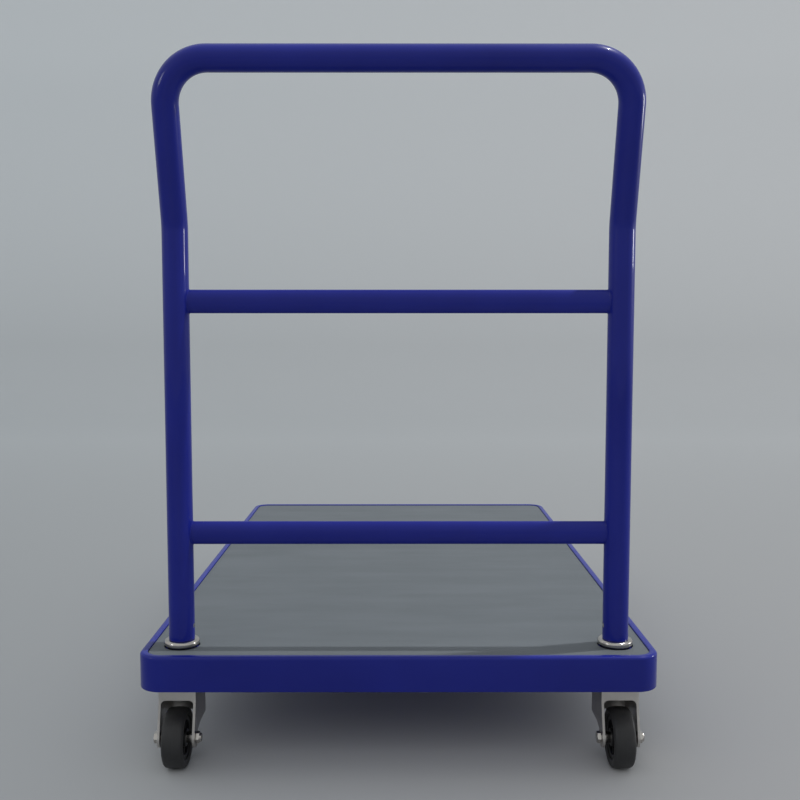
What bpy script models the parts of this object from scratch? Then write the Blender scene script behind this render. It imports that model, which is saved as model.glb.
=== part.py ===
"""Folding platform cart: a blue steel deck on four casters with a bent tube handle that folds over it.

The cart stands on z = 0 with the middle of its overall box at x = y = 0. The handle is at the -Y end.
"""
import math

import bmesh
import bpy
from mathutils import Vector

MM = 0.001

# ---- deck ----
DECK_WIDTH = 640 * MM
DECK_LENGTH = 1000 * MM
DECK_TOP = 157 * MM               # height of the lip above the floor
RIM_HEIGHT = 44 * MM
CORNER_RADIUS = 29 * MM
RIM_ROUND = 4 * MM                # outer top edge of the rim
LIP_WIDTH = 9.5 * MM
LIP_ROUND = 1 * MM
SHEET = 2.5 * MM                  # steel sheet of the deck and channels
MAT_THICKNESS = 4 * MM
MAT_RECESS = 1.5 * MM             # mat surface below the lip
MAT_ROUND = 0.8 * MM
CHANNEL_WIDTH = 84 * MM

# ---- handle ----
POST_SPACING = 547 * MM           # centre to centre of the two posts
POST_INSET = 51 * MM              # post centre in from the near face of the deck
TUBE_RADIUS = 16 * MM
TUBE_WALL = 2 * MM
KINK_HEIGHT = 522 * MM            # above the deck
GRIP_HEIGHT = 708 * MM            # above the deck
GRIP_OVERHANG = 1 * MM            # grip centre outside the near face of the deck
CORNER_BEND = 52 * MM
KINK_BEND = 70 * MM
BAR_HEIGHT = 29 * MM              # the cross bars are flat-oval tube
BAR_DEPTH = 15.5 * MM
BAR_WALL = 2 * MM
LOW_BAR_HEIGHT = 142 * MM         # above the deck
MID_BAR_HEIGHT = 430 * MM         # above the deck

# ---- feet and fold pivot ----
COLLAR_RADIUS = 22 * MM
COLLAR_HEIGHT = 7 * MM            # above the deck lip
COLLAR_ROUND = 3.6 * MM           # both edges of the collar
TONGUE_WIDTH = 12 * MM
TONGUE_DEPTH = 16 * MM
PIN_RADIUS = 4 * MM
STUD_RADIUS = 8 * MM
STUD_LENGTH = 20 * MM             # below the deck sheet
FOOT_NUT_FLATS = 24 * MM
FOOT_NUT_HEIGHT = 13 * MM

# ---- casters ----
CASTER_X = 280 * MM               # caster centre from the cart's middle plane
CASTER_INSET = 75 * MM            # caster plate centre in from the deck's end face
PLATE_WIDTH = 70 * MM
PLATE_LENGTH = 80 * MM
PLATE_THICKNESS = 3 * MM
SCREW_SPACING_X = 50 * MM
SCREW_SPACING_Y = 60 * MM
SCREW_RADIUS = 4 * MM
SCREW_FLATS = 13 * MM
SCREW_HEAD = 5.3 * MM
SCREW_END = 7 * MM                # screw end above the channel web
SPANNER_ROOM = 1 * MM             # between a screw head and the bracket leg beside it
FORK_WIDTH = 47 * MM
FORK_LENGTH = 60 * MM
FORK_SHEET = 3 * MM
FORK_BEND = 6 * MM
CROWN_UNDERSIDE = 98 * MM         # above the floor
SKIRT_DEPTH = 13 * MM             # skirt in front, below the crown
FORK_WAIST = 48 * MM              # lower edge behind the lug, above the floor
FORK_EDGE_ROUND = 3 * MM
FORK_TRAIL = 30 * MM
LUG_RADIUS = 12.5 * MM
LUG_ARC = (160, 385)              # degrees round the lug, from its near edge to its far edge
BRACKET_SHOULDER = 30 * MM        # straight part of a bracket leg, below its plate
BEARING_RADIUS = 25 * MM
KINGPIN_RADIUS = 6 * MM
KINGPIN_HEAD_RADIUS = 10 * MM
KINGPIN_HEAD = 4 * MM
WHEEL_RADIUS = 37.5 * MM
TYRE_WIDTH = 27 * MM
TYRE_SHOULDER = 4.5 * MM
CORE_RADIUS = 26 * MM
CORE_WIDTH = 21 * MM
CORE_RIM = 4.5 * MM
CORE_WEB = 7 * MM
HUB_RADIUS = 11 * MM
HUB_WIDTH = 24 * MM
SLEEVE_RADIUS = 7 * MM
AXLE_RADIUS = 4 * MM
AXLE_FLATS = 13 * MM
AXLE_HEAD = 5.3 * MM
AXLE_NUT = 6.5 * MM

# ---- clearances and round counts ----
GAP = 0.3 * MM                    # between pieces that touch
RUN = 0.3 * MM                    # radial, round a piece that turns
MARGIN = 5 * MM                   # how far a cutter runs past the piece it cuts
TUBE_SIDES = 16
WHEEL_SIDES = 20
PIN_SIDES = 12
CORNER_STEPS = 5
BEND_STEPS = 6
KINK_STEPS = 2
ROUND_STEPS = 3                   # small edge rounds and sheet bends
LUG_STEPS = 8
SHARP_ANGLE = 35                  # degrees, shading stays sharp above this

# ---- places worked out from the sizes above ----
GRIP_REACH = GRIP_OVERHANG + TUBE_RADIUS
DECK_Y = GRIP_REACH / 2
NEAR_Y = DECK_Y - DECK_LENGTH / 2
RIM_BOTTOM = DECK_TOP - RIM_HEIGHT
MAT_TOP = DECK_TOP - MAT_RECESS
SHEET_TOP = MAT_TOP - MAT_THICKNESS - GAP
SHEET_UNDERSIDE = SHEET_TOP - SHEET
POST_X = POST_SPACING / 2
POST_Y = NEAR_Y + POST_INSET
GRIP_Y = NEAR_Y - GRIP_OVERHANG
FOOT_SEAT_RADIUS = COLLAR_RADIUS - COLLAR_ROUND
COLLAR_TOP = DECK_TOP + COLLAR_HEIGHT
POST_END = COLLAR_TOP + GAP
HEEL_RADIUS = TUBE_RADIUS + RUN / 2
PIVOT_Z = POST_END + HEEL_RADIUS
PLATE_TOP = RIM_BOTTOM - GAP
PLATE_UNDERSIDE = PLATE_TOP - PLATE_THICKNESS
CROWN_TOP = CROWN_UNDERSIDE + FORK_SHEET
SWIVEL_Y = NEAR_Y + CASTER_INSET
FIXED_Y = NEAR_Y + DECK_LENGTH - CASTER_INSET
INNER_HALF = FORK_WIDTH / 2 - FORK_SHEET


# ---------------------------------------------------------------- making and joining shapes

def clear_scene():
    """Remove every object that the file starts with."""
    for thing in list(bpy.data.objects):
        bpy.data.objects.remove(thing, do_unlink=True)


def material(name, colour, roughness, metallic):
    """A Principled BSDF material."""
    made = bpy.data.materials.new(name)
    made.use_nodes = True
    shader = made.node_tree.nodes["Principled BSDF"]
    shader.inputs["Base Color"].default_value = (*colour, 1)
    shader.inputs["Roughness"].default_value = roughness
    shader.inputs["Metallic"].default_value = metallic
    return made


def add_object(name, mesh_data, finish=None, parent=None, place=(0, 0, 0)):
    """Link a mesh as an object, at a place in its parent's space."""
    thing = bpy.data.objects.new(name, mesh_data)
    bpy.context.collection.objects.link(thing)
    if finish:
        thing.data.materials.append(finish)
    thing.parent = parent
    thing.location = place
    return thing


def add_empty(name, place, parent=None):
    """An empty that carries the pieces of one moving body."""
    return add_object(name, None, parent=parent, place=place)


def finish_mesh(name, shape, smooth=False):
    """Turn a bmesh into mesh data with its faces pointing out."""
    bmesh.ops.recalc_face_normals(shape, faces=shape.faces)
    made = bpy.data.meshes.new(name)
    shape.to_mesh(made)
    shape.free()
    if smooth:
        made.shade_smooth()
        made.set_sharp_from_angle(angle=math.radians(SHARP_ANGLE))
    return made


def join_loops(shape, loops, closed=False):
    """Skin a run of equal point loops. An open run gets flat ends, a closed one meets its start."""
    rings = [[shape.verts.new(point) for point in loop] for loop in loops]
    count = len(rings[0])
    pairs = list(zip(rings, rings[1:]))
    if closed:
        pairs.append((rings[-1], rings[0]))
    else:
        shape.faces.new(rings[0])
        shape.faces.new(rings[-1])
    for one, two in pairs:
        for step in range(count):
            after = (step + 1) % count
            shape.faces.new((one[step], one[after], two[after], two[step]))


def loop_mesh(name, loops, closed=False, smooth=False):
    """Mesh data skinned over a run of point loops."""
    shape = bmesh.new()
    join_loops(shape, loops, closed)
    return finish_mesh(name, shape, smooth)


def arc(centre, radius, start, end, steps):
    """Points of a flat arc, angles in degrees."""
    turns = [math.radians(start + (end - start) * step / steps) for step in range(steps + 1)]
    return [(centre[0] + radius * math.cos(turn), centre[1] + radius * math.sin(turn)) for turn in turns]


def ring(radius, sides):
    """Points of a full circle, without a repeat at the end."""
    return arc((0, 0), radius, 0, 360 - 360 / sides, sides - 1)


def turned(name, profile, sides, axis="Z"):
    """A solid of revolution. The profile is a closed list of (radius, height along the axis)."""
    def place(radius, height, turn):
        across = (radius * math.cos(turn), radius * math.sin(turn))
        return (height, *across) if axis == "X" else (*across, height)
    loops = []
    for step in range(sides):
        turn = 2 * math.pi * step / sides
        loops.append([place(radius, height, turn) for radius, height in profile])
    return loop_mesh(name, loops, closed=True, smooth=True)


def rod(name, radius, low, high, sides, axis="Z"):
    """A plain round rod from low to high along its axis."""
    loops = []
    for height in (low, high):
        points = ring(radius, sides)
        loops.append([(height, *point) if axis == "X" else (*point, height) for point in points])
    return loop_mesh(name, loops, smooth=True)


def prism(name, outline, low, high, axis="Z"):
    """An outline drawn out along an axis: (x, y) along Z, (x, z) along Y or (y, z) along X."""
    def place(point, depth):
        if axis == "X":
            return (depth, *point)
        if axis == "Y":
            return (point[0], depth, point[1])
        return (*point, depth)
    return loop_mesh(name, [[place(point, depth) for point in outline] for depth in (low, high)])


def hexagon(flats):
    """The outline of a hexagon, from its size across flats."""
    return arc((0, 0), flats / math.sqrt(3), 0, 300, 5)


def rounded_rectangle(half_x, half_y, radius):
    """The outline of a rectangle with round corners."""
    points = []
    for quarter, (sign_x, sign_y) in enumerate(((1, 1), (-1, 1), (-1, -1), (1, -1))):
        centre = (sign_x * (half_x - radius), sign_y * (half_y - radius))
        points += arc(centre, radius, 90 * quarter, 90 * quarter + 90, CORNER_STEPS)
    return points


def combine(thing, cutter_mesh, place, operation="DIFFERENCE"):
    """Cut, join or intersect a piece with another shape placed in the piece's own space."""
    cutter = add_object(f"{thing.name}.{operation.lower()}", cutter_mesh, parent=thing, place=place)
    cutter.hide_render = True
    cutter.display_type = "WIRE"
    modifier = thing.modifiers.new(cutter.name, "BOOLEAN")
    modifier.operation = operation
    modifier.object = cutter


# ---------------------------------------------------------------- deck

def deck_loop(inset, height):
    """One level of the deck's outline, drawn in from the outer face by the inset."""
    outline = rounded_rectangle(DECK_WIDTH / 2 - inset, DECK_LENGTH / 2 - inset, CORNER_RADIUS - inset)
    return [(x, y, height) for x, y in outline]


def build_deck(paint, rubber):
    """The pressed tray with its raised lip, the mat inside the lip and the channels under the sheet."""
    outer_round = arc((RIM_ROUND, DECK_TOP - RIM_ROUND), RIM_ROUND, 180, 90, ROUND_STEPS)
    lip_round = [(LIP_WIDTH - LIP_ROUND, DECK_TOP), (LIP_WIDTH, DECK_TOP - LIP_ROUND)]
    section = [(LIP_WIDTH, SHEET_TOP), *reversed(lip_round), *reversed(outer_round), (0, RIM_BOTTOM)]
    section += [(SHEET, RIM_BOTTOM), (SHEET, DECK_TOP - SHEET)]
    section += [(LIP_WIDTH - SHEET, DECK_TOP - SHEET), (LIP_WIDTH - SHEET, SHEET_UNDERSIDE)]
    loops = [deck_loop(inset, height) for inset, height in section]
    frame = add_object("deck_frame", loop_mesh("deck_frame", loops), paint, place=(0, DECK_Y, 0))

    edge = LIP_WIDTH + GAP
    mat_section = [(edge, MAT_TOP - MAT_THICKNESS), (edge, MAT_TOP - MAT_ROUND), (edge + MAT_ROUND, MAT_TOP)]
    mat_loops = [deck_loop(inset, height) for inset, height in mat_section]
    mat = add_object("deck_mat", loop_mesh("deck_mat", mat_loops), rubber, place=(0, DECK_Y, 0))

    for side in (-1, 1):
        place = (side * POST_X, POST_Y - DECK_Y, SHEET_TOP)
        combine(frame, rod("stud_hole", STUD_RADIUS + GAP, -MARGIN, MARGIN, PIN_SIDES), place)
        combine(mat, rod("foot_hole", COLLAR_RADIUS + GAP, -MARGIN, 2 * MARGIN, TUBE_SIDES), place)

    build_channel("channel_front", SWIVEL_Y, paint, holes=True)
    build_channel("channel_middle", DECK_Y, paint, holes=False)
    build_channel("channel_rear", FIXED_Y, paint, holes=True)


def build_channel(name, centre_y, paint, holes):
    """An open-topped channel across the deck. The end ones have the casters' screw holes."""
    half = CHANNEL_WIDTH / 2
    low = RIM_BOTTOM
    high = SHEET_UNDERSIDE - GAP
    outline = [(-half, high), (-half, low), (half, low), (half, high)]
    outline += [(half - SHEET, high), (half - SHEET, low + SHEET)]
    outline += [(SHEET - half, low + SHEET), (SHEET - half, high)]
    reach = DECK_WIDTH / 2 - SHEET - GAP
    channel = add_object(name, prism(name, outline, -reach, reach, "X"), paint, place=(0, centre_y, 0))
    if holes:
        for side in (-1, 1):
            for x, y in screw_places():
                hole = rod("screw_hole", SCREW_RADIUS + GAP, -MARGIN, MARGIN, PIN_SIDES)
                combine(channel, hole, (side * CASTER_X + x, y, low))


# ---------------------------------------------------------------- feet and handle

def build_foot(side_name, side, zinc):
    """A plated foot: stud through the deck, round collar on the mat and the tongue the handle turns on."""
    stud_end = SHEET_UNDERSIDE - STUD_LENGTH
    seat = SHEET_TOP + GAP
    profile = [(STUD_RADIUS, stud_end), (STUD_RADIUS, seat), (FOOT_SEAT_RADIUS, seat)]
    lower = (FOOT_SEAT_RADIUS, MAT_TOP + GAP + COLLAR_ROUND)
    upper = (FOOT_SEAT_RADIUS, COLLAR_TOP - COLLAR_ROUND)
    profile += arc(lower, COLLAR_ROUND, -90, 0, ROUND_STEPS)
    profile += arc(upper, COLLAR_ROUND, 0, 90, ROUND_STEPS)
    loops = []
    for radius, height in profile:
        loops.append([(*point, height) for point in ring(radius, TUBE_SIDES)])
    name = f"foot_{side_name}"
    place = (side * POST_X, POST_Y, 0)
    foot = add_object(name, loop_mesh(name, loops, smooth=True), zinc, place=place)
    half = TONGUE_DEPTH / 2
    base = COLLAR_TOP - PIVOT_Z - MARGIN
    outline = [(half, base), *arc((0, 0), half, 0, 180, BEND_STEPS), (-half, base)]
    tongue = prism("tongue", outline, -TONGUE_WIDTH / 2, TONGUE_WIDTH / 2, "X")
    combine(foot, tongue, (0, 0, PIVOT_Z), "UNION")
    bore = rod("pin_bore", PIN_RADIUS + RUN, -TONGUE_WIDTH, TONGUE_WIDTH, PIN_SIDES, "X")
    combine(foot, bore, (0, 0, PIVOT_Z))

    top = SHEET_UNDERSIDE - GAP
    nut = prism("foot_nut", hexagon(FOOT_NUT_FLATS), top - FOOT_NUT_HEIGHT, top)
    nut = add_object(f"foot_nut_{side_name}", nut, zinc, place=place)
    thread = rod("thread", STUD_RADIUS + GAP, top - FOOT_NUT_HEIGHT - MARGIN, top + MARGIN, PIN_SIDES)
    combine(nut, thread, (0, 0, 0))


def bent_path(corners):
    """A path through corner points, each inner one rounded by its own bend radius and step count."""
    path = [corners[0][0]]
    for (before, *_), (corner, radius, steps), (after, *_) in zip(corners, corners[1:], corners[2:]):
        back = (before - corner).normalized()
        ahead = (after - corner).normalized()
        half_angle = back.angle(ahead) / 2
        centre = corner + (back + ahead).normalized() * (radius / math.sin(half_angle))
        first = corner + back * (radius / math.tan(half_angle)) - centre
        last = corner + ahead * (radius / math.tan(half_angle)) - centre
        bend = first.rotation_difference(last)
        for step in range(steps + 1):
            turn = bend.copy()
            turn.angle = bend.angle * step / steps
            path.append(centre + turn @ first)
    path.append(corners[-1][0])
    return path


def swept_tube(name, path, radius, wall, sides):
    """A hollow tube along a path, with ring-shaped ends. Each ring is turned on from the last one."""
    across = Vector((1, 0, 0))
    heading = (path[1] - path[0]).normalized()
    outer = []
    inner = []
    for index, point in enumerate(path):
        ahead = (path[min(index + 1, len(path) - 1)] - point).normalized()
        back = (point - path[max(index - 1, 0)]).normalized()
        new_heading = (ahead + back).normalized()
        across = heading.rotation_difference(new_heading) @ across
        heading = new_heading
        up = heading.cross(across)
        for loop, reach in ((outer, radius), (inner, radius - wall)):
            loop.append([point + across * x + up * y for x, y in ring(reach, sides)])
    return loop_mesh(name, outer + inner[::-1], closed=True, smooth=True)


def build_handle(paint, zinc):
    """The bent tube, its two cross bars and the pins in its feet, all on the fold pivot's axis."""
    handle = add_empty("handle_pivot", (0, POST_Y, PIVOT_Z))
    grip_y = GRIP_Y - POST_Y
    kink_z = DECK_TOP + KINK_HEIGHT - PIVOT_Z
    grip_z = DECK_TOP + GRIP_HEIGHT - PIVOT_Z
    corners = [(Vector((-POST_X, 0, POST_END - PIVOT_Z)),)]
    corners.append((Vector((-POST_X, 0, kink_z)), KINK_BEND, KINK_STEPS))
    corners.append((Vector((-POST_X, grip_y, grip_z)), CORNER_BEND, BEND_STEPS))
    corners.append((Vector((POST_X, grip_y, grip_z)), CORNER_BEND, BEND_STEPS))
    corners.append((Vector((POST_X, 0, kink_z)), KINK_BEND, KINK_STEPS))
    corners.append((Vector((POST_X, 0, POST_END - PIVOT_Z)),))
    tube_mesh = swept_tube("handle_tube", bent_path(corners), TUBE_RADIUS, TUBE_WALL, TUBE_SIDES)
    tube = add_object("handle_tube", tube_mesh, paint, handle)

    past = TUBE_RADIUS + MARGIN
    heel = [*arc((0, 0), HEEL_RADIUS, 270, 360, BEND_STEPS), (past, 0), (past, -past), (0, -past)]
    slot_half = TONGUE_WIDTH / 2 + 2 * RUN
    slot_top = TONGUE_DEPTH / 2 + 2 * RUN
    slot = [(0, -past), (past, -past), (past, slot_top), (0, slot_top)]
    for side in (-1, 1):
        place = (side * POST_X, 0, 0)
        combine(tube, prism("heel_cut", heel, -past, past, "X"), place)
        combine(tube, prism("tongue_slot", slot, -slot_half, slot_half, "X"), place)
        combine(tube, rod("pin_hole", PIN_RADIUS + GAP, -past, past, PIN_SIDES, "X"), place)
        pin = rod("pivot_pin", PIN_RADIUS, -TUBE_RADIUS + GAP, TUBE_RADIUS - GAP, PIN_SIDES, "X")
        add_object("pivot_pin_left" if side < 0 else "pivot_pin_right", pin, zinc, handle, place)

    for name, height in (("crossbar_low", LOW_BAR_HEIGHT), ("crossbar_mid", MID_BAR_HEIGHT)):
        bar = add_object(name, crossbar_mesh(name), paint, handle, (0, 0, DECK_TOP + height - PIVOT_Z))
        for side in (-1, 1):
            cope = rod("cope", TUBE_RADIUS + GAP, -past, past, TUBE_SIDES)
            combine(bar, cope, (side * POST_X, 0, 0))


def crossbar_mesh(name):
    """A straight hollow bar between the middles of the two posts, oval in section."""
    loops = []
    for wall, ends in ((0, (-1, 1)), (BAR_WALL, (1, -1))):
        half_y = BAR_DEPTH / 2 - wall
        half_z = BAR_HEIGHT / 2 - wall
        for end in ends:
            loops.append([(end * POST_X, half_y * y, half_z * z) for y, z in ring(1, TUBE_SIDES)])
    return loop_mesh(name, loops, closed=True, smooth=True)


# ---------------------------------------------------------------- casters

def screw_places():
    """The four screw centres of a caster plate, from the plate's centre."""
    return [(x * SCREW_SPACING_X / 2, y * SCREW_SPACING_Y / 2) for x in (-1, 1) for y in (-1, 1)]


def cut_screw_holes(thing, height):
    """Screw holes through a caster plate."""
    for x, y in screw_places():
        combine(thing, rod("screw_hole", SCREW_RADIUS + GAP, -MARGIN, MARGIN, PIN_SIDES), (x, y, height))


def build_screws(name, centre, zinc):
    """Four hexagon screws that hold a caster plate to the channel above it."""
    head_top = PLATE_UNDERSIDE - GAP
    shank_top = RIM_BOTTOM + SHEET + SCREW_END
    for number, (x, y) in enumerate(screw_places(), start=1):
        hexagon_part = prism("screw", hexagon(SCREW_FLATS), head_top - SCREW_HEAD, head_top)
        place = (centre[0] + x, centre[1] + y, 0)
        screw = add_object(f"mount_screw_{name}_{number}", hexagon_part, zinc, place=place)
        shank = rod("shank", SCREW_RADIUS, head_top - SCREW_HEAD / 2, shank_top, PIN_SIDES)
        combine(screw, shank, (0, 0, 0), "UNION")


def lug_outline(axle_y, near_top, far_top):
    """The lower part of a fork side: down the near edge, round the axle lug and up to the far edge."""
    lug = arc((axle_y, WHEEL_RADIUS), LUG_RADIUS, *LUG_ARC, LUG_STEPS)
    return [near_top, *lug, far_top]


def build_swivel_fork(name, finish, parent):
    """A pressed fork: an inverted U cut to a side outline, with a skirt in front and a web behind."""
    half = FORK_LENGTH / 2
    skirt_low = CROWN_UNDERSIDE - SKIRT_DEPTH
    web_low = FORK_WAIST + FORK_EDGE_ROUND
    shoulder = skirt_low - FORK_SHEET
    lower_edge = [(-FORK_TRAIL + 2 * LUG_RADIUS, FORK_WAIST)]
    lower_edge += arc((half - FORK_EDGE_ROUND, web_low), FORK_EDGE_ROUND, 270, 360, ROUND_STEPS)
    side = [(-half, CROWN_TOP), *lug_outline(-FORK_TRAIL, (-half, shoulder), lower_edge[0])]
    side += lower_edge[1:] + [(half, CROWN_TOP)]
    reach = FORK_WIDTH / 2
    bend = (reach - FORK_BEND, CROWN_TOP - FORK_BEND)
    outer = arc(bend, FORK_BEND, 0, 90, ROUND_STEPS)
    inner = arc(bend, FORK_BEND - FORK_SHEET, 0, 90, ROUND_STEPS)
    right = [(reach, 0), *outer]
    left = [(-x, z) for x, z in reversed(right)]
    inner_left = [(-x, z) for x, z in [(INNER_HALF, 0), *inner]]
    section = right + left + inner_left + [*reversed(inner), (INNER_HALF, 0)]
    fork = add_object(name, prism(name, section, -half - FORK_TRAIL, half + MARGIN, "Y"), finish, parent)
    combine(fork, prism("fork_side", side, -FORK_WIDTH, FORK_WIDTH, "X"), (0, 0, 0), "INTERSECT")
    between = INNER_HALF + GAP
    top = CROWN_UNDERSIDE + GAP
    corner = (INNER_HALF - FORK_BEND, skirt_low - FORK_BEND)
    skirt_right = [(between, top), (between, corner[1]), *arc(corner, FORK_BEND, 0, 90, ROUND_STEPS)]
    skirt = skirt_right + [(-x, z) for x, z in reversed(skirt_right)]
    web = [(between, top), (between, web_low), (-between, web_low), (-between, top)]
    combine(fork, prism("fork_skirt", skirt, -half, FORK_SHEET - half, "Y"), (0, 0, 0), "UNION")
    combine(fork, prism("fork_web", web, half - FORK_SHEET, half, "Y"), (0, 0, 0), "UNION")
    hole = rod("kingpin_hole", KINGPIN_RADIUS + RUN, -MARGIN, MARGIN, PIN_SIDES)
    combine(fork, hole, (0, 0, CROWN_UNDERSIDE))
    cut_axle_holes(fork, -FORK_TRAIL)


def build_fixed_bracket(name, finish, parent):
    """A fixed caster's bracket: plate and two legs pressed from one sheet, axle under the plate's centre."""
    half = SCREW_SPACING_Y / 2 - SCREW_FLATS / math.sqrt(3) - SPANNER_ROOM
    waist = PLATE_UNDERSIDE - BRACKET_SHOULDER
    side = [(-PLATE_LENGTH / 2, PLATE_TOP), (-PLATE_LENGTH / 2, PLATE_UNDERSIDE), (-half, PLATE_UNDERSIDE)]
    side += lug_outline(0, (-half, waist), (half, waist))
    side += [(half, PLATE_UNDERSIDE), (PLATE_LENGTH / 2, PLATE_UNDERSIDE), (PLATE_LENGTH / 2, PLATE_TOP)]
    leg = FORK_WIDTH / 2
    section = [(PLATE_WIDTH / 2, PLATE_TOP), (-PLATE_WIDTH / 2, PLATE_TOP)]
    section += [(-PLATE_WIDTH / 2, PLATE_UNDERSIDE)]
    section += [(-leg, PLATE_UNDERSIDE), (-leg, 0), (-INNER_HALF, 0), (-INNER_HALF, PLATE_UNDERSIDE)]
    section += [(INNER_HALF, PLATE_UNDERSIDE), (INNER_HALF, 0), (leg, 0), (leg, PLATE_UNDERSIDE)]
    section += [(PLATE_WIDTH / 2, PLATE_UNDERSIDE)]
    reach = PLATE_LENGTH / 2 + MARGIN
    bracket = add_object(name, prism(name, section, -reach, reach, "Y"), finish, parent)
    combine(bracket, prism("bracket_side", side, -PLATE_WIDTH, PLATE_WIDTH, "X"), (0, 0, 0), "INTERSECT")
    cut_screw_holes(bracket, PLATE_TOP)
    cut_axle_holes(bracket, 0)


def cut_axle_holes(thing, axle_y):
    """The axle bolt's holes in both legs of a fork or bracket."""
    hole = rod("axle_hole", AXLE_RADIUS + GAP, -FORK_WIDTH, FORK_WIDTH, PIN_SIDES, "X")
    combine(thing, hole, (0, axle_y, WHEEL_RADIUS))


def build_axle(name, zinc, parent, axle_y):
    """Axle bolt, nut and the spacer sleeve between the legs."""
    leg = FORK_WIDTH / 2
    place = (0, axle_y, WHEEL_RADIUS)
    head = prism("axle_bolt", hexagon(AXLE_FLATS), -leg - GAP - AXLE_HEAD, -leg - GAP, "X")
    bolt = add_object(f"axle_bolt_{name}", head, zinc, parent, place)
    shank = rod("axle_shank", AXLE_RADIUS, -leg - AXLE_HEAD / 2, leg + AXLE_NUT, PIN_SIDES, "X")
    combine(bolt, shank, (0, 0, 0), "UNION")
    nut_mesh = prism("axle_nut", hexagon(AXLE_FLATS), leg + GAP, leg + GAP + AXLE_NUT, "X")
    nut = add_object(f"axle_nut_{name}", nut_mesh, zinc, parent, place)
    thread = rod("axle_thread", AXLE_RADIUS + GAP, leg - MARGIN, leg + 2 * MARGIN, PIN_SIDES, "X")
    combine(nut, thread, (0, 0, 0))
    end = INNER_HALF - GAP
    bore = AXLE_RADIUS + GAP
    wall = [(bore, -end), (SLEEVE_RADIUS, -end), (SLEEVE_RADIUS, end), (bore, end)]
    add_object(f"axle_sleeve_{name}", turned("axle_sleeve", wall, PIN_SIDES, "X"), zinc, parent, place)


def build_wheel(name, core_finish, tyre_finish, parent):
    """A wheel on its axle: a core with hub, web and rim, and the rubber tyre round it."""
    bore = SLEEVE_RADIUS + RUN
    hub, web, rim = HUB_WIDTH / 2, CORE_WEB / 2, CORE_WIDTH / 2
    half_core = [(bore, hub), (HUB_RADIUS, hub), (HUB_RADIUS, web), (CORE_RADIUS - CORE_RIM, web)]
    half_core += [(CORE_RADIUS - CORE_RIM, rim), (CORE_RADIUS, rim)]
    core = half_core + [(radius, -x) for radius, x in reversed(half_core)]
    add_object(f"wheel_core_{name}", turned("wheel_core", core, WHEEL_SIDES, "X"), core_finish, parent)
    half = TYRE_WIDTH / 2
    seat = CORE_RADIUS + GAP
    shoulder = arc((WHEEL_RADIUS - TYRE_SHOULDER, half - TYRE_SHOULDER), TYRE_SHOULDER, 90, 0, ROUND_STEPS)
    half_tyre = [(seat, rim), *shoulder]
    tyre = half_tyre + [(radius, -x) for radius, x in reversed(half_tyre)]
    add_object(f"tyre_{name}", turned("tyre", tyre, WHEEL_SIDES, "X"), tyre_finish, parent)


def build_swivel_caster(side_name, side, zinc, core_finish, tyre_finish):
    """A swivel caster under the handle end, trailing outwards past the end of the deck."""
    name = f"front_{side_name}"
    centre = (side * CASTER_X, SWIVEL_Y, 0)
    outline = rounded_rectangle(PLATE_WIDTH / 2, PLATE_LENGTH / 2, FORK_BEND)
    plate_mesh = prism("top_plate", outline, PLATE_UNDERSIDE, PLATE_TOP)
    plate = add_object(f"caster_plate_{name}", plate_mesh, zinc, place=centre)
    cut_screw_holes(plate, PLATE_TOP)
    combine(plate, rod("kingpin_hole", KINGPIN_RADIUS + GAP, -MARGIN, MARGIN, PIN_SIDES), (0, 0, PLATE_TOP))

    bore = KINGPIN_RADIUS + GAP
    low, high = CROWN_TOP + GAP, PLATE_UNDERSIDE - GAP
    middle = (low + high) / 2
    race = [(bore, low), (BEARING_RADIUS - FORK_SHEET, low), (BEARING_RADIUS, low + FORK_SHEET)]
    race += [(BEARING_RADIUS, middle - GAP), (BEARING_RADIUS - FORK_SHEET, middle)]
    race += [(BEARING_RADIUS, middle + GAP), (BEARING_RADIUS, high), (bore, high)]
    add_object(f"swivel_bearing_{name}", turned("swivel_bearing", race, TUBE_SIDES), zinc, place=centre)

    head_top = CROWN_UNDERSIDE - GAP
    pin_mesh = rod("kingpin", KINGPIN_HEAD_RADIUS, head_top - KINGPIN_HEAD, head_top, PIN_SIDES)
    kingpin = add_object(f"kingpin_{name}", pin_mesh, zinc, place=centre)
    shank = rod("kingpin_shank", KINGPIN_RADIUS, head_top - KINGPIN_HEAD / 2, PLATE_TOP - GAP, PIN_SIDES)
    combine(kingpin, shank, (0, 0, 0), "UNION")

    swivel = add_empty(f"swivel_{name}", centre)
    build_swivel_fork(f"fork_{name}", zinc, swivel)
    build_axle(name, zinc, swivel, -FORK_TRAIL)
    axle = add_empty(f"axle_{name}", (0, -FORK_TRAIL, WHEEL_RADIUS), swivel)
    build_wheel(name, core_finish, tyre_finish, axle)
    build_screws(name, centre, zinc)


def build_fixed_caster(side_name, side, zinc, core_finish, tyre_finish):
    """A fixed caster under the far end of the deck."""
    name = f"rear_{side_name}"
    centre = (side * CASTER_X, FIXED_Y, 0)
    base = add_empty(f"base_{name}", centre)
    build_fixed_bracket(f"bracket_{name}", zinc, base)
    build_axle(name, zinc, base, 0)
    axle = add_empty(f"axle_{name}", (0, 0, WHEEL_RADIUS), base)
    build_wheel(name, core_finish, tyre_finish, axle)
    build_screws(name, centre, zinc)


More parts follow.
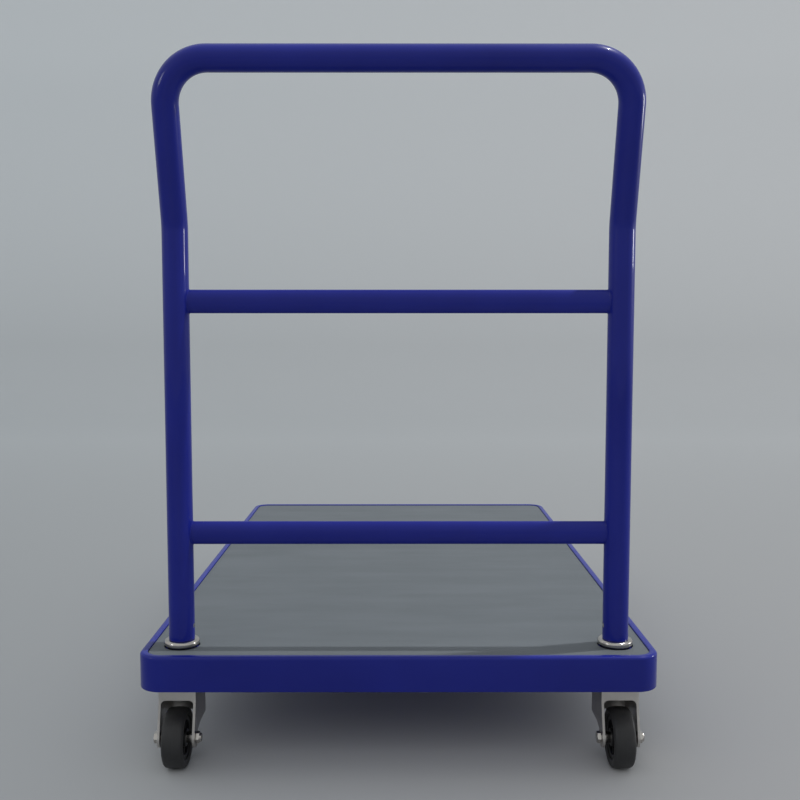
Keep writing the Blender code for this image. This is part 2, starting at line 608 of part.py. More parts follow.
def main():
    """Build the whole cart."""
    clear_scene()
    paint = material("blue_paint", (0.02, 0.022, 0.2), 0.3, 0.0)
    rubber = material("deck_rubber", (0.16, 0.18, 0.19), 0.6, 0.0)
    zinc = material("zinc_plate", (0.6, 0.6, 0.58), 0.3, 1.0)
    core_finish = material("wheel_plastic", (0.012, 0.012, 0.013), 0.5, 0.0)
    tyre_finish = material("tyre_rubber", (0.02, 0.02, 0.022), 0.65, 0.0)
    build_deck(paint, rubber)
    for side_name, side in (("left", -1), ("right", 1)):
        build_foot(side_name, side, zinc)
        build_swivel_caster(side_name, side, zinc, core_finish, tyre_finish)
        build_fixed_caster(side_name, side, zinc, core_finish, tyre_finish)
    build_handle(paint, zinc)
    bpy.context.view_layer.update()


main()
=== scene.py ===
# %% [markdown]
# # A folding platform cart
# This lesson dresses a packed mechanical model of a workshop cart. The frame already knows every size,
# place and joint. Each cell below makes one real piece or one real finish around it: a blue powder-coated
# handle and deck, a grey rubber mat, zinc-plated casters and black rubber wheels.
# The frame comes first, because every piece takes its place from it.

# %% Load the frame
import math

import bmesh
import bpy
from mathutils import Matrix, Vector


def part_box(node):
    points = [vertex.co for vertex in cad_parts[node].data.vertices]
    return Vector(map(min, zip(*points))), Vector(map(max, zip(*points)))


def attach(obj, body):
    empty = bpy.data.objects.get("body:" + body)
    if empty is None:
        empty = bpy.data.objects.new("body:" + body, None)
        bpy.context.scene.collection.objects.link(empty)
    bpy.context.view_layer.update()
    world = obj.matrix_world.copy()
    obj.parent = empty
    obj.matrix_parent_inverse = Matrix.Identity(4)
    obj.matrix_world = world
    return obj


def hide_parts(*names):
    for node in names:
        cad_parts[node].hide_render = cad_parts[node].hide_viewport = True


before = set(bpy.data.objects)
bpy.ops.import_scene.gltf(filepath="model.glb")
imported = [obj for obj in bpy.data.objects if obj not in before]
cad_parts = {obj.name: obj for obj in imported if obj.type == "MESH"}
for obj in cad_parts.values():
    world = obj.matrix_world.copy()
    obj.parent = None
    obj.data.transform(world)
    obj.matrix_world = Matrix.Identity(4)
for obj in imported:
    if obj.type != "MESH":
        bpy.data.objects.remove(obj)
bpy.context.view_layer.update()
MM = 0.001
SIDES = (("left", -1), ("right", 1))


def middle(node):
    """The centre of a frame node's box."""
    low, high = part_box(node)
    return (low + high) / 2


def half_box(node):
    """Half the width, depth and height of a frame node's box."""
    low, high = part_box(node)
    return (high - low) / 2


deck_low, deck_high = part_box("deck_frame")
deck_middle = middle("deck_frame")
deck_top = deck_high.z
print("frame holds", len(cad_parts), "nodes; the deck top is", round(deck_top / MM, 1), "mm up")

# %% [markdown]
# ## The camera
# A camera is placed by where it stands, how far it looks down and how long its lens is. This one stands
# just over a metre behind the handle, a bit below the upper cross bar, and looks slightly down the deck.
# The lens shift stays at zero and depth of field stays off, so the same camera works from any side.

# %% Place the camera
CAMERA_BACK = 1132.1 * MM         # from the deck's near face
CAMERA_UP = 400.6 * MM            # above the deck
LOOK_DOWN = math.radians(4.45)
LOOK_ASIDE = math.radians(0.08)
LENS_PER_SENSOR = 1.1971

lens_data = bpy.data.cameras.new("camera")
lens_data.sensor_width = 36
lens_data.lens = 36 * LENS_PER_SENSOR
camera = bpy.data.objects.new("camera", lens_data)
bpy.context.collection.objects.link(camera)
camera.location = (0, deck_low.y - CAMERA_BACK, deck_top + CAMERA_UP)
camera.rotation_euler = (math.radians(90) - LOOK_DOWN, 0, -LOOK_ASIDE)
bpy.context.scene.camera = camera
print("camera lens", round(lens_data.lens, 1), "mm")

# %% [markdown]
# ## Helpers for finishes
# A finish is a small network of shader nodes. A few short helpers keep the networks readable: they add a
# node and fill in its settings, do one step of arithmetic, blend two colours, start a node group with
# named sockets, or start a material and hand back its shader. Effects that several finishes share live in
# groups. The shader itself stays in the material, where an exporter can read it.

# %% Node helpers
def add_node(tree, kind, settings=None, **inputs):
    """Add a node. Settings are its own properties, inputs are socket values or sockets to link from."""
    node = tree.nodes.new(kind)
    for name, value in (settings or {}).items():
        setattr(node, name, value)
    for name, value in inputs.items():
        feed(tree, node, name.replace("_", " "), value)
    return node


def feed(tree, node, socket, value):
    """Give an input a value, or link it from another node's output."""
    target = node.inputs[int(socket)] if socket.isdigit() else node.inputs[socket]
    if isinstance(value, bpy.types.NodeSocket):
        tree.links.new(value, target)
    else:
        target.default_value = value


def math_node(tree, operation, first, second=0.0, clamp=False):
    """One arithmetic step. Returns its output socket."""
    node = tree.nodes.new("ShaderNodeMath")
    node.operation = operation
    node.use_clamp = clamp
    feed(tree, node, "0", first)
    feed(tree, node, "1", second)
    return node.outputs[0]


def stretch_range(tree, value, low, high, to_low=0.0, to_high=1.0):
    """Move a range of values onto another range, held at both ends."""
    node = tree.nodes.new("ShaderNodeMapRange")
    for name, given in zip(("Value", "From Min", "From Max", "To Min", "To Max"),
                           (value, low, high, to_low, to_high)):
        feed(tree, node, name, given)
    return node.outputs["Result"]


def mix_colours(tree, factor, first, second):
    """Blend two colours. Returns the output socket."""
    node = tree.nodes.new("ShaderNodeMix")
    node.data_type = "RGBA"
    feed(tree, node, "0", factor)
    feed(tree, node, "6", first)
    feed(tree, node, "7", second)
    return node.outputs[2]


def start_group(name, inputs, outputs):
    """A shader group with named number inputs. Returns the group and its two end nodes."""
    group = bpy.data.node_groups.new(name, "ShaderNodeTree")
    for socket, value in inputs.items():
        made = group.interface.new_socket(socket, in_out="INPUT", socket_type="NodeSocketFloat")
        made.default_value = value
    for socket in outputs:
        group.interface.new_socket(socket, in_out="OUTPUT", socket_type="NodeSocketFloat")
    return group, group.nodes.new("NodeGroupInput"), group.nodes.new("NodeGroupOutput")


def use_group(tree, group, **values):
    """Place a shared effect in a material with its own values."""
    node = tree.nodes.new("ShaderNodeGroup")
    node.node_tree = group
    for name, value in values.items():
        feed(tree, node, name.replace("_", " "), value)
    return node.outputs


def start_material(name):
    """A new material, its node tree and its Principled shader."""
    made = bpy.data.materials.new(name)
    made.use_nodes = True
    return made, made.node_tree, made.node_tree.nodes["Principled BSDF"]


def add_bump(tree, shader, height, strength, distance):
    """Let a height tilt the shading of a surface without moving it."""
    bump = add_node(tree, "ShaderNodeBump", Strength=strength, Distance=distance, Height=height)
    feed(tree, shader, "Normal", bump.outputs[0])


print("node helpers ready")

# %% [markdown]
# ## Shared surface effects
# Real surfaces are never quite even. Four effects cover this cart:
# - *wander*: a slow drift of tone, made from noise in the piece's own space, optionally stretched along X;
# - *fine bumps*: the height of orange peel in powder coat, pebble in rubber or grain in plating;
# - *worn edge*: a mask along convex edges, found by comparing the true normal with a rounded one;
# - *settled dust*: a mask on faces that look up, broken up by noise.
# Each group only puts out numbers, so one effect can drive colour in one finish and roughness in another.

# %% Build the shared groups
def build_wander():
    """A slow drift of tone in the piece's own space, between 0 and 1."""
    group, enter, leave = start_group("wander", {"Scale": 10, "Stretch": 1, "Detail": 3}, ["Value"])
    place = add_node(group, "ShaderNodeTexCoord").outputs["Object"]
    squeeze = add_node(group, "ShaderNodeCombineXYZ", Y=1.0, Z=1.0)
    group.links.new(math_node(group, "DIVIDE", 1.0, enter.outputs["Stretch"]), squeeze.inputs["X"])
    scaled = add_node(group, "ShaderNodeVectorMath", {"operation": "MULTIPLY"})
    group.links.new(place, scaled.inputs[0])
    group.links.new(squeeze.outputs[0], scaled.inputs[1])
    noise = add_node(group, "ShaderNodeTexNoise", Vector=scaled.outputs[0], Scale=enter.outputs["Scale"],
                     Detail=enter.outputs["Detail"], Roughness=0.55)
    group.links.new(stretch_range(group, noise.outputs["Fac"], 0.28, 0.72), leave.inputs["Value"])
    return group


def build_fine_bumps():
    """The height of a pebbled skin: soft noise with small round cells on it."""
    group, enter, leave = start_group("fine_bumps", {"Scale": 300, "Sharpness": 0.5}, ["Height"])
    place = add_node(group, "ShaderNodeTexCoord").outputs["Object"]
    wide = add_node(group, "ShaderNodeTexNoise", Vector=place, Scale=enter.outputs["Scale"], Detail=1.5)
    cells = add_node(group, "ShaderNodeTexVoronoi", {"feature": "SMOOTH_F1"}, Vector=place,
                     Scale=math_node(group, "MULTIPLY", enter.outputs["Scale"], 1.7))
    sharp = math_node(group, "MULTIPLY", cells.outputs["Distance"], enter.outputs["Sharpness"])
    group.links.new(math_node(group, "ADD", wide.outputs["Fac"], sharp), leave.inputs["Height"])
    return group


def build_worn_edge():
    """A broken mask along convex edges."""
    group, enter, leave = start_group("worn_edge", {"Width": 0.002, "Breakup": 60, "Amount": 0.5}, ["Mask"])
    rounded = add_node(group, "ShaderNodeBevel", {"samples": 4}, Radius=enter.outputs["Width"])
    true_normal = add_node(group, "ShaderNodeNewGeometry").outputs["Normal"]
    match = add_node(group, "ShaderNodeVectorMath", {"operation": "DOT_PRODUCT"})
    group.links.new(rounded.outputs[0], match.inputs[0])
    group.links.new(true_normal, match.inputs[1])
    turned_away = math_node(group, "SUBTRACT", 1.0, match.outputs["Value"])
    edge = stretch_range(group, turned_away, 0.01, 0.12)
    place = add_node(group, "ShaderNodeTexCoord").outputs["Object"]
    chips = add_node(group, "ShaderNodeTexNoise", Vector=place, Scale=enter.outputs["Breakup"], Detail=4.0)
    broken = stretch_range(group, chips.outputs["Fac"], 0.42, 0.62)
    mask = math_node(group, "MULTIPLY", edge, broken)
    group.links.new(math_node(group, "MULTIPLY", mask, enter.outputs["Amount"], True), leave.inputs["Mask"])
    return group


def build_settled_dust():
    """A patchy mask on faces that look up."""
    group, enter, leave = start_group("settled_dust", {"Scale": 14, "Amount": 0.2}, ["Mask"])
    geometry = add_node(group, "ShaderNodeNewGeometry")
    upward = add_node(group, "ShaderNodeSeparateXYZ", Vector=geometry.outputs["Normal"]).outputs["Z"]
    place = add_node(group, "ShaderNodeTexCoord").outputs["Object"]
    drift = add_node(group, "ShaderNodeTexNoise", Vector=place, Scale=enter.outputs["Scale"], Detail=6.0)
    patch = stretch_range(group, drift.outputs["Fac"], 0.35, 0.75)
    mask = math_node(group, "MULTIPLY", stretch_range(group, upward, 0.2, 1.0), patch)
    group.links.new(math_node(group, "MULTIPLY", mask, enter.outputs["Amount"], True), leave.inputs["Mask"])
    return group


wander = build_wander()
fine_bumps = build_fine_bumps()
worn_edge = build_worn_edge()
settled_dust = build_settled_dust()
print("shared groups:", sorted(group.name for group in bpy.data.node_groups))

# %% [markdown]
# ## Blue powder coat
# Powder coat is melted plastic on steel: a deep, even colour with a clear skin and a faint orange peel.
# A second gloss layer on top of the base gives the sharp streaks, while the rougher base under it keeps
# the body of the colour soft. Edges thin to a paler blue and level faces carry a trace of dust.

# %% Make the powder coat
def blue_powder_coat():
    """Deep blue with a clear gloss skin, paler on worn edges."""
    made, tree, shader = start_material("blue_powder_coat")
    drift = use_group(tree, wander, Scale=7.0, Stretch=1.0, Detail=3.0)["Value"]
    blue = mix_colours(tree, drift, (0.008, 0.014, 0.215, 1), (0.010, 0.018, 0.26, 1))
    edge = use_group(tree, worn_edge, Width=0.0016, Breakup=90.0, Amount=0.35)["Mask"]
    pale = mix_colours(tree, edge, blue, (0.04, 0.05, 0.5, 1))
    dust = use_group(tree, settled_dust, Scale=22.0, Amount=0.01)["Mask"]
    feed(tree, shader, "Base Color", mix_colours(tree, dust, pale, (0.3, 0.3, 0.31, 1)))
    feed(tree, shader, "Roughness", stretch_range(tree, drift, 0, 1, 0.3, 0.38))
    shader.inputs["Specular IOR Level"].default_value = 0.08
    shader.inputs["Coat Weight"].default_value = 0.4
    shader.inputs["Coat Roughness"].default_value = 0.05
    peel = use_group(tree, fine_bumps, Scale=330.0, Sharpness=0.2)["Height"]
    add_bump(tree, shader, peel, 0.05, 0.5 * MM)
    return made


powder_coat = blue_powder_coat()
print("made", powder_coat.name)

# %% [markdown]
# ## Grey rubber mat
# The deck mat is a smooth rubber sheet. Rolling leaves it faintly streaked across its width, and use
# leaves soft cloudy patches. Both are drifts of tone, one stretched and one round, that also move the
# roughness a little, so the patches catch the light differently.

# %% Make the mat rubber
def grey_mat_rubber():
    """Blue-grey rubber with streaks, soft clouds and a pebbled skin."""
    made, tree, shader = start_material("grey_mat_rubber")
    streaks = use_group(tree, wander, Scale=26.0, Stretch=5.0, Detail=5.0)["Value"]
    clouds = use_group(tree, wander, Scale=6.5, Stretch=1.8, Detail=4.0)["Value"]
    both = math_node(tree, "ADD", math_node(tree, "MULTIPLY", streaks, 0.45),
                     math_node(tree, "MULTIPLY", clouds, 0.55))
    grey = mix_colours(tree, both, (0.092, 0.107, 0.119, 1), (0.116, 0.133, 0.149, 1))
    edge = use_group(tree, worn_edge, Width=0.0015, Breakup=50.0, Amount=0.5)["Mask"]
    feed(tree, shader, "Base Color", mix_colours(tree, edge, grey, (0.26, 0.28, 0.29, 1)))
    feed(tree, shader, "Roughness", stretch_range(tree, both, 0, 1, 0.62, 0.48))
    pebble = use_group(tree, fine_bumps, Scale=420.0, Sharpness=0.6)["Height"]
    add_bump(tree, shader, pebble, 0.16, 0.6 * MM)
    return made


mat_rubber = grey_mat_rubber()
print("made", mat_rubber.name)

# %% [markdown]
# ## Zinc plate
# Pressed steel parts are plated in a barrel. They come out bright but not mirror-like, with a slightly
# mottled tone and small rubs on the edges. One function makes two finishes: satin zinc for the pressed
# parts and a brighter one for the turned collars and fasteners.

# %% Make the two platings
def plated_steel(name, tone, low_roughness, high_roughness, grain):
    """A plated metal of one tone, mottled, rubbed on its edges and a little dusty."""
    made, tree, shader = start_material(name)
    drift = use_group(tree, wander, Scale=38.0, Stretch=1.0, Detail=5.0)["Value"]
    darker = (*[part * 0.78 for part in tone], 1)
    metal = mix_colours(tree, drift, darker, (*tone, 1))
    edge = use_group(tree, worn_edge, Width=0.0009, Breakup=160.0, Amount=0.6)["Mask"]
    rubbed = mix_colours(tree, edge, metal, (0.85, 0.85, 0.84, 1))
    dust = use_group(tree, settled_dust, Scale=40.0, Amount=0.12)["Mask"]
    feed(tree, shader, "Base Color", mix_colours(tree, dust, rubbed, (0.32, 0.3, 0.27, 1)))
    shader.inputs["Metallic"].default_value = 1.0
    feed(tree, shader, "Roughness", stretch_range(tree, drift, 0, 1, low_roughness, high_roughness))
    height = use_group(tree, fine_bumps, Scale=520.0, Sharpness=0.3)["Height"]
    add_bump(tree, shader, height, grain, 0.3 * MM)
    return made


satin_zinc = plated_steel("satin_zinc", (0.61, 0.585, 0.555), 0.26, 0.4, 0.12)
bright_plate = plated_steel("bright_plate", (0.6, 0.57, 0.53), 0.12, 0.22, 0.04)
print("made", satin_zinc.name, "and", bright_plate.name)

# %% [markdown]
# ## Wheel rubber and wheel plastic
# The tyre is black rubber, ground round, so its tread carries fine lines that run round the wheel. The
# lines are a ripple along the axle's direction, X. The core is moulded black plastic, a bit glossier.

# %% Make the wheel finishes
def black_tyre_rubber():
    """Black rubber with fine ground lines round the wheel."""
    made, tree, shader = start_material("black_tyre_rubber")
    drift = use_group(tree, wander, Scale=55.0, Stretch=1.0, Detail=5.0)["Value"]
    place = add_node(tree, "ShaderNodeTexCoord").outputs["Object"]
    across = add_node(tree, "ShaderNodeSeparateXYZ", Vector=place).outputs["X"]
    one_way = {"noise_dimensions": "1D"}
    lines = add_node(tree, "ShaderNodeTexNoise", one_way, W=across, Scale=900.0, Detail=3.0)
    ground = stretch_range(tree, lines.outputs["Fac"], 0.3, 0.7)
    both = math_node(tree, "ADD", math_node(tree, "MULTIPLY", drift, 0.5),
                     math_node(tree, "MULTIPLY", ground, 0.5))
    black = mix_colours(tree, both, (0.012, 0.012, 0.013, 1), (0.03, 0.03, 0.031, 1))
    dust = use_group(tree, settled_dust, Scale=60.0, Amount=0.1)["Mask"]
    feed(tree, shader, "Base Color", mix_colours(tree, dust, black, (0.11, 0.1, 0.09, 1)))
    feed(tree, shader, "Roughness", stretch_range(tree, both, 0, 1, 0.46, 0.66))
    add_bump(tree, shader, both, 0.35, 0.4 * MM)
    return made


def black_wheel_plastic():
    """Moulded black plastic with a fine grain."""
    made, tree, shader = start_material("black_wheel_plastic")
    drift = use_group(tree, wander, Scale=45.0, Stretch=1.0, Detail=4.0)["Value"]
    black = mix_colours(tree, drift, (0.007, 0.007, 0.008, 1), (0.014, 0.014, 0.015, 1))
    edge = use_group(tree, worn_edge, Width=0.0007, Breakup=120.0, Amount=0.3)["Mask"]
    feed(tree, shader, "Base Color", mix_colours(tree, edge, black, (0.05, 0.05, 0.05, 1)))
    feed(tree, shader, "Roughness", stretch_range(tree, drift, 0, 1, 0.36, 0.5))
    grain = use_group(tree, fine_bumps, Scale=900.0, Sharpness=0.5)["Height"]
    add_bump(tree, shader, grain, 0.12, 0.2 * MM)
    return made


tyre_rubber = black_tyre_rubber()
wheel_plastic = black_wheel_plastic()
print("made", tyre_rubber.name, "and", wheel_plastic.name)

# %% [markdown]
# ## Helpers for shapes
# Nearly every piece here is one of three things: a loop of points skinned to the next loop, a profile
# turned round an axis, or an outline drawn out to a thickness. The helpers below make those as clean
# closed meshes. Holes and joints between shapes are cut with an exact Boolean that is applied at once,
# and a small live bevel rounds the edges, because no real edge is perfectly sharp.

# %% Shape helpers
ON_AXIS = 0.01 * MM               # radius that closes the end of a turned piece


def arc(centre, radius, start, end, steps):
    """Points of a flat arc, angles in degrees."""
    turns = [math.radians(start + (end - start) * step / steps) for step in range(steps + 1)]
    return [(centre[0] + radius * math.cos(turn), centre[1] + radius * math.sin(turn)) for turn in turns]


def ring(radius, steps):
    """A full circle of points, without a repeat at the end."""
    return arc((0, 0), radius, 0, 360 - 360 / steps, steps - 1)


def skin(name, loops, closed=False):
    """A mesh skinned over a run of equal loops. An open run gets flat ends."""
    shape = bmesh.new()
    rings = [[shape.verts.new(point) for point in loop] for loop in loops]
    pairs = list(zip(rings, rings[1:]))
    if closed:
        pairs.append((rings[-1], rings[0]))
    else:
        shape.faces.new(rings[0])
        shape.faces.new(rings[-1])
    count = len(rings[0])
    for one, two in pairs:
        for step in range(count):
            after = (step + 1) % count
            shape.faces.new((one[step], one[after], two[after], two[step]))
    bmesh.ops.recalc_face_normals(shape, faces=shape.faces)
    made = bpy.data.meshes.new(name)
    shape.to_mesh(made)
    shape.free()
    return made


def set_on_axis(flat, depth, axis):
    """A flat point and a depth as a 3D point: (x, y) along Z, (x, z) along Y or (y, z) along X."""
    if axis == "X":
        return (depth, *flat)
    if axis == "Y":
        return (flat[0], depth, flat[1])
    return (*flat, depth)


def draw_out(name, outline, low, high, axis="Z"):
    """An outline drawn out from low to high along an axis."""
    return skin(name, [[set_on_axis(flat, depth, axis) for flat in outline] for depth in (low, high)])


def turn_profile(name, profile, steps, axis="Z"):
    """A closed profile of (radius, distance along the axis) turned round the axis."""
    loops = []
    for across in ring(1, steps):
        loops.append([set_on_axis((radius * across[0], radius * across[1]), depth, axis)
                      for radius, depth in profile])
    return skin(name, loops, closed=True)


def there_and_back(profile):
    """Half a turned profile, then its mirror image on the way back."""
    return profile + [(radius, -depth) for radius, depth in reversed(profile)]


def rod(name, radius, low, high, steps=32, axis="Z"):
    """A round rod, mostly used to cut holes."""
    return draw_out(name, ring(radius, steps), low, high, axis)


def smooth(mesh, angle=32):
    """Shade a mesh smooth, with sharp edges kept where faces meet at more than the angle."""
    mesh.shade_smooth()
    mesh.set_sharp_from_angle(angle=math.radians(angle))


def add_piece(name, mesh, finish, body, nodes, place=(0, 0, 0), edge=0.0, edge_steps=2):
    """Link a mesh as a piece of the cart, give it its finish and body, and hide the nodes it stands for."""
    piece = bpy.data.objects.new(name, mesh)
    bpy.context.collection.objects.link(piece)
    piece.location = place
    if finish.name not in mesh.materials:
        mesh.materials.append(finish)
    smooth(mesh)
    if edge:
        bevel = piece.modifiers.new("edge", "BEVEL")
        bevel.width = edge
        bevel.segments = edge_steps
        bevel.limit_method = "ANGLE"
        bevel.angle_limit = math.radians(35)
        bevel.harden_normals = True
    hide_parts(*nodes)
    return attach(piece, body)


def join_shapes(mesh, tool_mesh, operation, place=(0, 0, 0)):
    """Cut, join or intersect a mesh with another one at once, and return the result."""
    base = bpy.data.objects.new("base", mesh)
    tool = bpy.data.objects.new("tool", tool_mesh)
    for thing in (base, tool):
        bpy.context.collection.objects.link(thing)
    tool.location = place
    step = base.modifiers.new("step", "BOOLEAN")
    step.operation = operation
    step.object = tool
    bpy.context.view_layer.update()
    seen = base.evaluated_get(bpy.context.evaluated_depsgraph_get())
    result = bpy.data.meshes.new_from_object(seen)
    result.name = mesh.name
    for thing in (base, tool):
        bpy.data.objects.remove(thing)
    return result


def rounded_rectangle(half_x, half_y, radius, steps):
    """The outline of a rectangle with round corners."""
    points = []
    for quarter, (sign_x, sign_y) in enumerate(((1, 1), (-1, 1), (-1, -1), (1, -1))):
        centre = (sign_x * (half_x - radius), sign_y * (half_y - radius))
        points += arc(centre, radius, 90 * quarter, 90 * quarter + 90, steps)
    return points


def hexagon(flats):
    """The outline of a hexagon, from its size across flats."""
    return arc((0, 0), flats / math.sqrt(3), 0, 300, 5)


print("shape helpers ready")

# %% [markdown]
# ## The deck tray
# The deck is one pressed steel tray: a deep rim with rounded corners, a narrow raised lip and a sunken
# sheet that holds the mat. Its section is drawn once, as insets from the outer face and heights, and each
# section point becomes one rounded-rectangle loop. Skinning the loops gives the whole tray, so the lip
# and the bends run round the corners exactly as they do in a press.

# %% Make the deck tray
CORNER_RADIUS = 29 * MM
RIM_ROUND = 4 * MM
LIP_WIDTH = 9.5 * MM
LIP_ROUND = 1.4 * MM
SHEET = 2.5 * MM
CORNER_STEPS = 16
STUD_RADIUS = 8 * MM
TOUCH = 0.3 * MM                  # gap between pieces that touch

mat_low, mat_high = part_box("deck_mat")
sheet_top = mat_low.z - TOUCH
foot_middles = {name: middle(f"foot_nut_{name}") for name, _ in SIDES}


def deck_loop(inset, height):
    """One level of the deck outline, drawn in from the outer face."""
    half = half_box("deck_frame")
    outline = rounded_rectangle(half.x - inset, half.y - inset, CORNER_RADIUS - inset, CORNER_STEPS)
    return [(deck_middle.x + x, deck_middle.y + y, height) for x, y in outline]


hem = SHEET / 2
section = [(LIP_WIDTH + LIP_ROUND, sheet_top), (LIP_WIDTH, sheet_top + LIP_ROUND)]
section += arc((LIP_WIDTH - LIP_ROUND, deck_top - LIP_ROUND), LIP_ROUND, 0, 90, 4)
section += arc((RIM_ROUND, deck_top - RIM_ROUND), RIM_ROUND, 90, 180, 8)
section += arc((hem, deck_low.z + hem), hem, 180, 360, 6)
section += arc((SHEET + RIM_ROUND / 2, deck_top - SHEET - RIM_ROUND / 2), RIM_ROUND / 2, 180, 90, 4)
section += [(LIP_WIDTH - SHEET, deck_top - SHEET), (LIP_WIDTH - SHEET, sheet_top - SHEET)]
tray_mesh = skin("deck_tray", [deck_loop(inset, height) for inset, height in section])
for name, _ in SIDES:
    hole = rod("stud_hole", STUD_RADIUS + TOUCH, -SHEET * 2, SHEET * 2)
    tray_mesh = join_shapes(tray_mesh, hole, "DIFFERENCE", (*foot_middles[name].xy, sheet_top))
deck_tray = add_piece("deck_tray", tray_mesh, powder_coat, "cart", ["deck_frame"])
print("deck tray has", len(deck_tray.data.polygons), "faces")

# %% [markdown]
# ## The mat
# The mat is a sheet inside the lip with two round cut-outs, through which the handle's feet stand on the
# steel. Each cut-out is just wider than the collar in it. The mat's top edge is rolled over a little,
# which is the pale line that shows along the lip.

# %% Make the mat
MAT_EDGE = 1.2 * MM
COLLAR_ROUND = 3.6 * MM
collar_radius = half_box("foot_left").x
seat_radius = collar_radius - COLLAR_ROUND
mat_inset = deck_high.x - mat_high.x
mat_section = [(mat_inset, mat_low.z)]
mat_section += arc((mat_inset + MAT_EDGE, mat_high.z - MAT_EDGE), MAT_EDGE, 180, 90, 5)
mat_mesh = skin("mat_sheet", [deck_loop(inset, height) for inset, height in mat_section])
for name, _ in SIDES:
    hole = rod("foot_hole", collar_radius + TOUCH, -deck_top / 10, deck_top / 10, 64)
    mat_mesh = join_shapes(mat_mesh, hole, "DIFFERENCE", (*foot_middles[name].xy, mat_low.z))
add_piece("mat_sheet", mat_mesh, mat_rubber, "cart", ["deck_mat"])
print("mat is", round((mat_high.z - mat_low.z) / MM, 1), "mm thick")

# %% [markdown]
# ## The channels under the deck
# Three folded channels stiffen the tray and carry the casters. A folded sheet has a bend radius on the
# outside and a smaller one on the inside, so the section is drawn with arcs and then drawn out along X.

# %% Make the channels
BEND = 4 * MM
BOLT_HOLE = 4.3 * MM              # radius of every hole for an 8 mm screw, bolt or pin


def folded_channel(node, name):
    """An open-topped channel, its section folded with round bends, with the screw holes in its web."""
    low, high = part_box(node)
    half = (high.y - low.y) / 2
    outer = arc((BEND - half, low.z + BEND), BEND, 180, 270, 5)
    outer += arc((half - BEND, low.z + BEND), BEND, 270, 360, 5)
    inner = arc((half - BEND, low.z + BEND), BEND - SHEET, 360, 270, 5)
    inner += arc((BEND - half, low.z + BEND), BEND - SHEET, 270, 180, 5)
    outline = [(-half, high.z), *outer, (half, high.z)]
    outline += [(half - SHEET, high.z), *inner, (SHEET - half, high.z)]
    mesh = draw_out(name, outline, low.x, high.x, "X")
    if node != "channel_middle":
        for number in range(1, 5):
            for side_name, _ in SIDES:
                spot = middle(f"mount_screw_{node.split('_')[1]}_{side_name}_{number}")
                hole = rod("screw_hole", BOLT_HOLE, -2 * SHEET, 2 * SHEET, 24)
                mesh = join_shapes(mesh, hole, "DIFFERENCE", (spot.x, spot.y - middle(node).y, low.z))
    place = (0, middle(node).y, 0)
    return add_piece(name, mesh, powder_coat, "cart", [node], place, 0.4 * MM)


for place_name in ("front", "middle", "rear"):
    channel = folded_channel(f"channel_{place_name}", f"folded_channel_{place_name}")
    print(channel.name, "has", len(channel.data.polygons), "faces")

# %% [markdown]
# ## The handle
# The handle is one tube bent four times: a gentle kink in each post and a tight bend at each top corner.
# The kinks lean the grip out past the deck, towards the person who pushes. The path is a list of corner
# points, each rounded by its own bend radius, and a ring of points is carried along it without twisting.
# At the foot the deck side is cut back to a round heel, so the tube can roll down over its collar when
# the handle folds, and a slot clears the steel tongue that it turns on.

# %% Work out the handle's path
KINK_ABOVE_DECK = 522 * MM
KINK_BEND = 70 * MM
CORNER_BEND = 52 * MM
TUBE_WALL = 2 * MM
TONGUE_HALF = 6 * MM              # half the thickness of the tongue in the tube
TONGUE_ROUND = 8 * MM             # radius of its round top
SLOT_CLEARANCE = 0.6 * MM
AROUND = 48

tube_low, tube_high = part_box("handle_tube")
pivot = middle("pivot_pin_right")
post_x = pivot.x
tube_radius = tube_high.x - post_x
grip_z = tube_high.z - tube_radius
grip_y = tube_low.y + tube_radius


def bent_path(corners):
    """A path through corner points, each inner one rounded by its own bend radius and step count."""
    path = [corners[0][0]]
    for (before, *_), (corner, radius, steps), (after, *_) in zip(corners, corners[1:], corners[2:]):
        back = (before - corner).normalized()
        ahead = (after - corner).normalized()
        half_angle = back.angle(ahead) / 2
        centre = corner + (back + ahead).normalized() * (radius / math.sin(half_angle))
        first = corner + back * (radius / math.tan(half_angle)) - centre
        last = corner + ahead * (radius / math.tan(half_angle)) - centre
        bend = first.rotation_difference(last)
        for step in range(steps + 1):
            turn = bend.copy()
            turn.angle = bend.angle * step / steps
            path.append(centre + turn @ first)
    path.append(corners[-1][0])
    return path


def carry_rings(path, radius, steps, closed=False):
    """Rings of points carried along a path without twisting."""
    rings = []
    count = len(path)
    heading = (path[1] - path[0]).normalized()
    across = Vector((1, 0, 0)) if abs(heading.x) < 0.9 else Vector((0, 1, 0))
    for index, point in enumerate(path):
        after = path[(index + 1) % count] if closed else path[min(index + 1, count - 1)]
        before = path[index - 1] if closed else path[max(index - 1, 0)]
        new_heading = (after - before).normalized()
        across = heading.rotation_difference(new_heading) @ across
        across = (across - new_heading * across.dot(new_heading)).normalized()
        heading = new_heading
        up = heading.cross(across)
        reach = radius(index) if callable(radius) else radius
        rings.append([point + across * x + up * y for x, y in ring(reach, steps)])
    return rings


kink_z = deck_top + KINK_ABOVE_DECK
corners = [(Vector((-post_x, pivot.y, tube_low.z)),)]
corners.append((Vector((-post_x, pivot.y, kink_z)), KINK_BEND, 12))
corners.append((Vector((-post_x, grip_y, grip_z)), CORNER_BEND, 28))
corners.append((Vector((post_x, grip_y, grip_z)), CORNER_BEND, 28))
corners.append((Vector((post_x, pivot.y, kink_z)), KINK_BEND, 12))
corners.append((Vector((post_x, pivot.y, tube_low.z)),))
handle_path = bent_path(corners)
tube_length = sum((two - one).length for one, two in zip(handle_path, handle_path[1:]))
print("the handle is bent from", round(tube_length, 2), "m of tube")

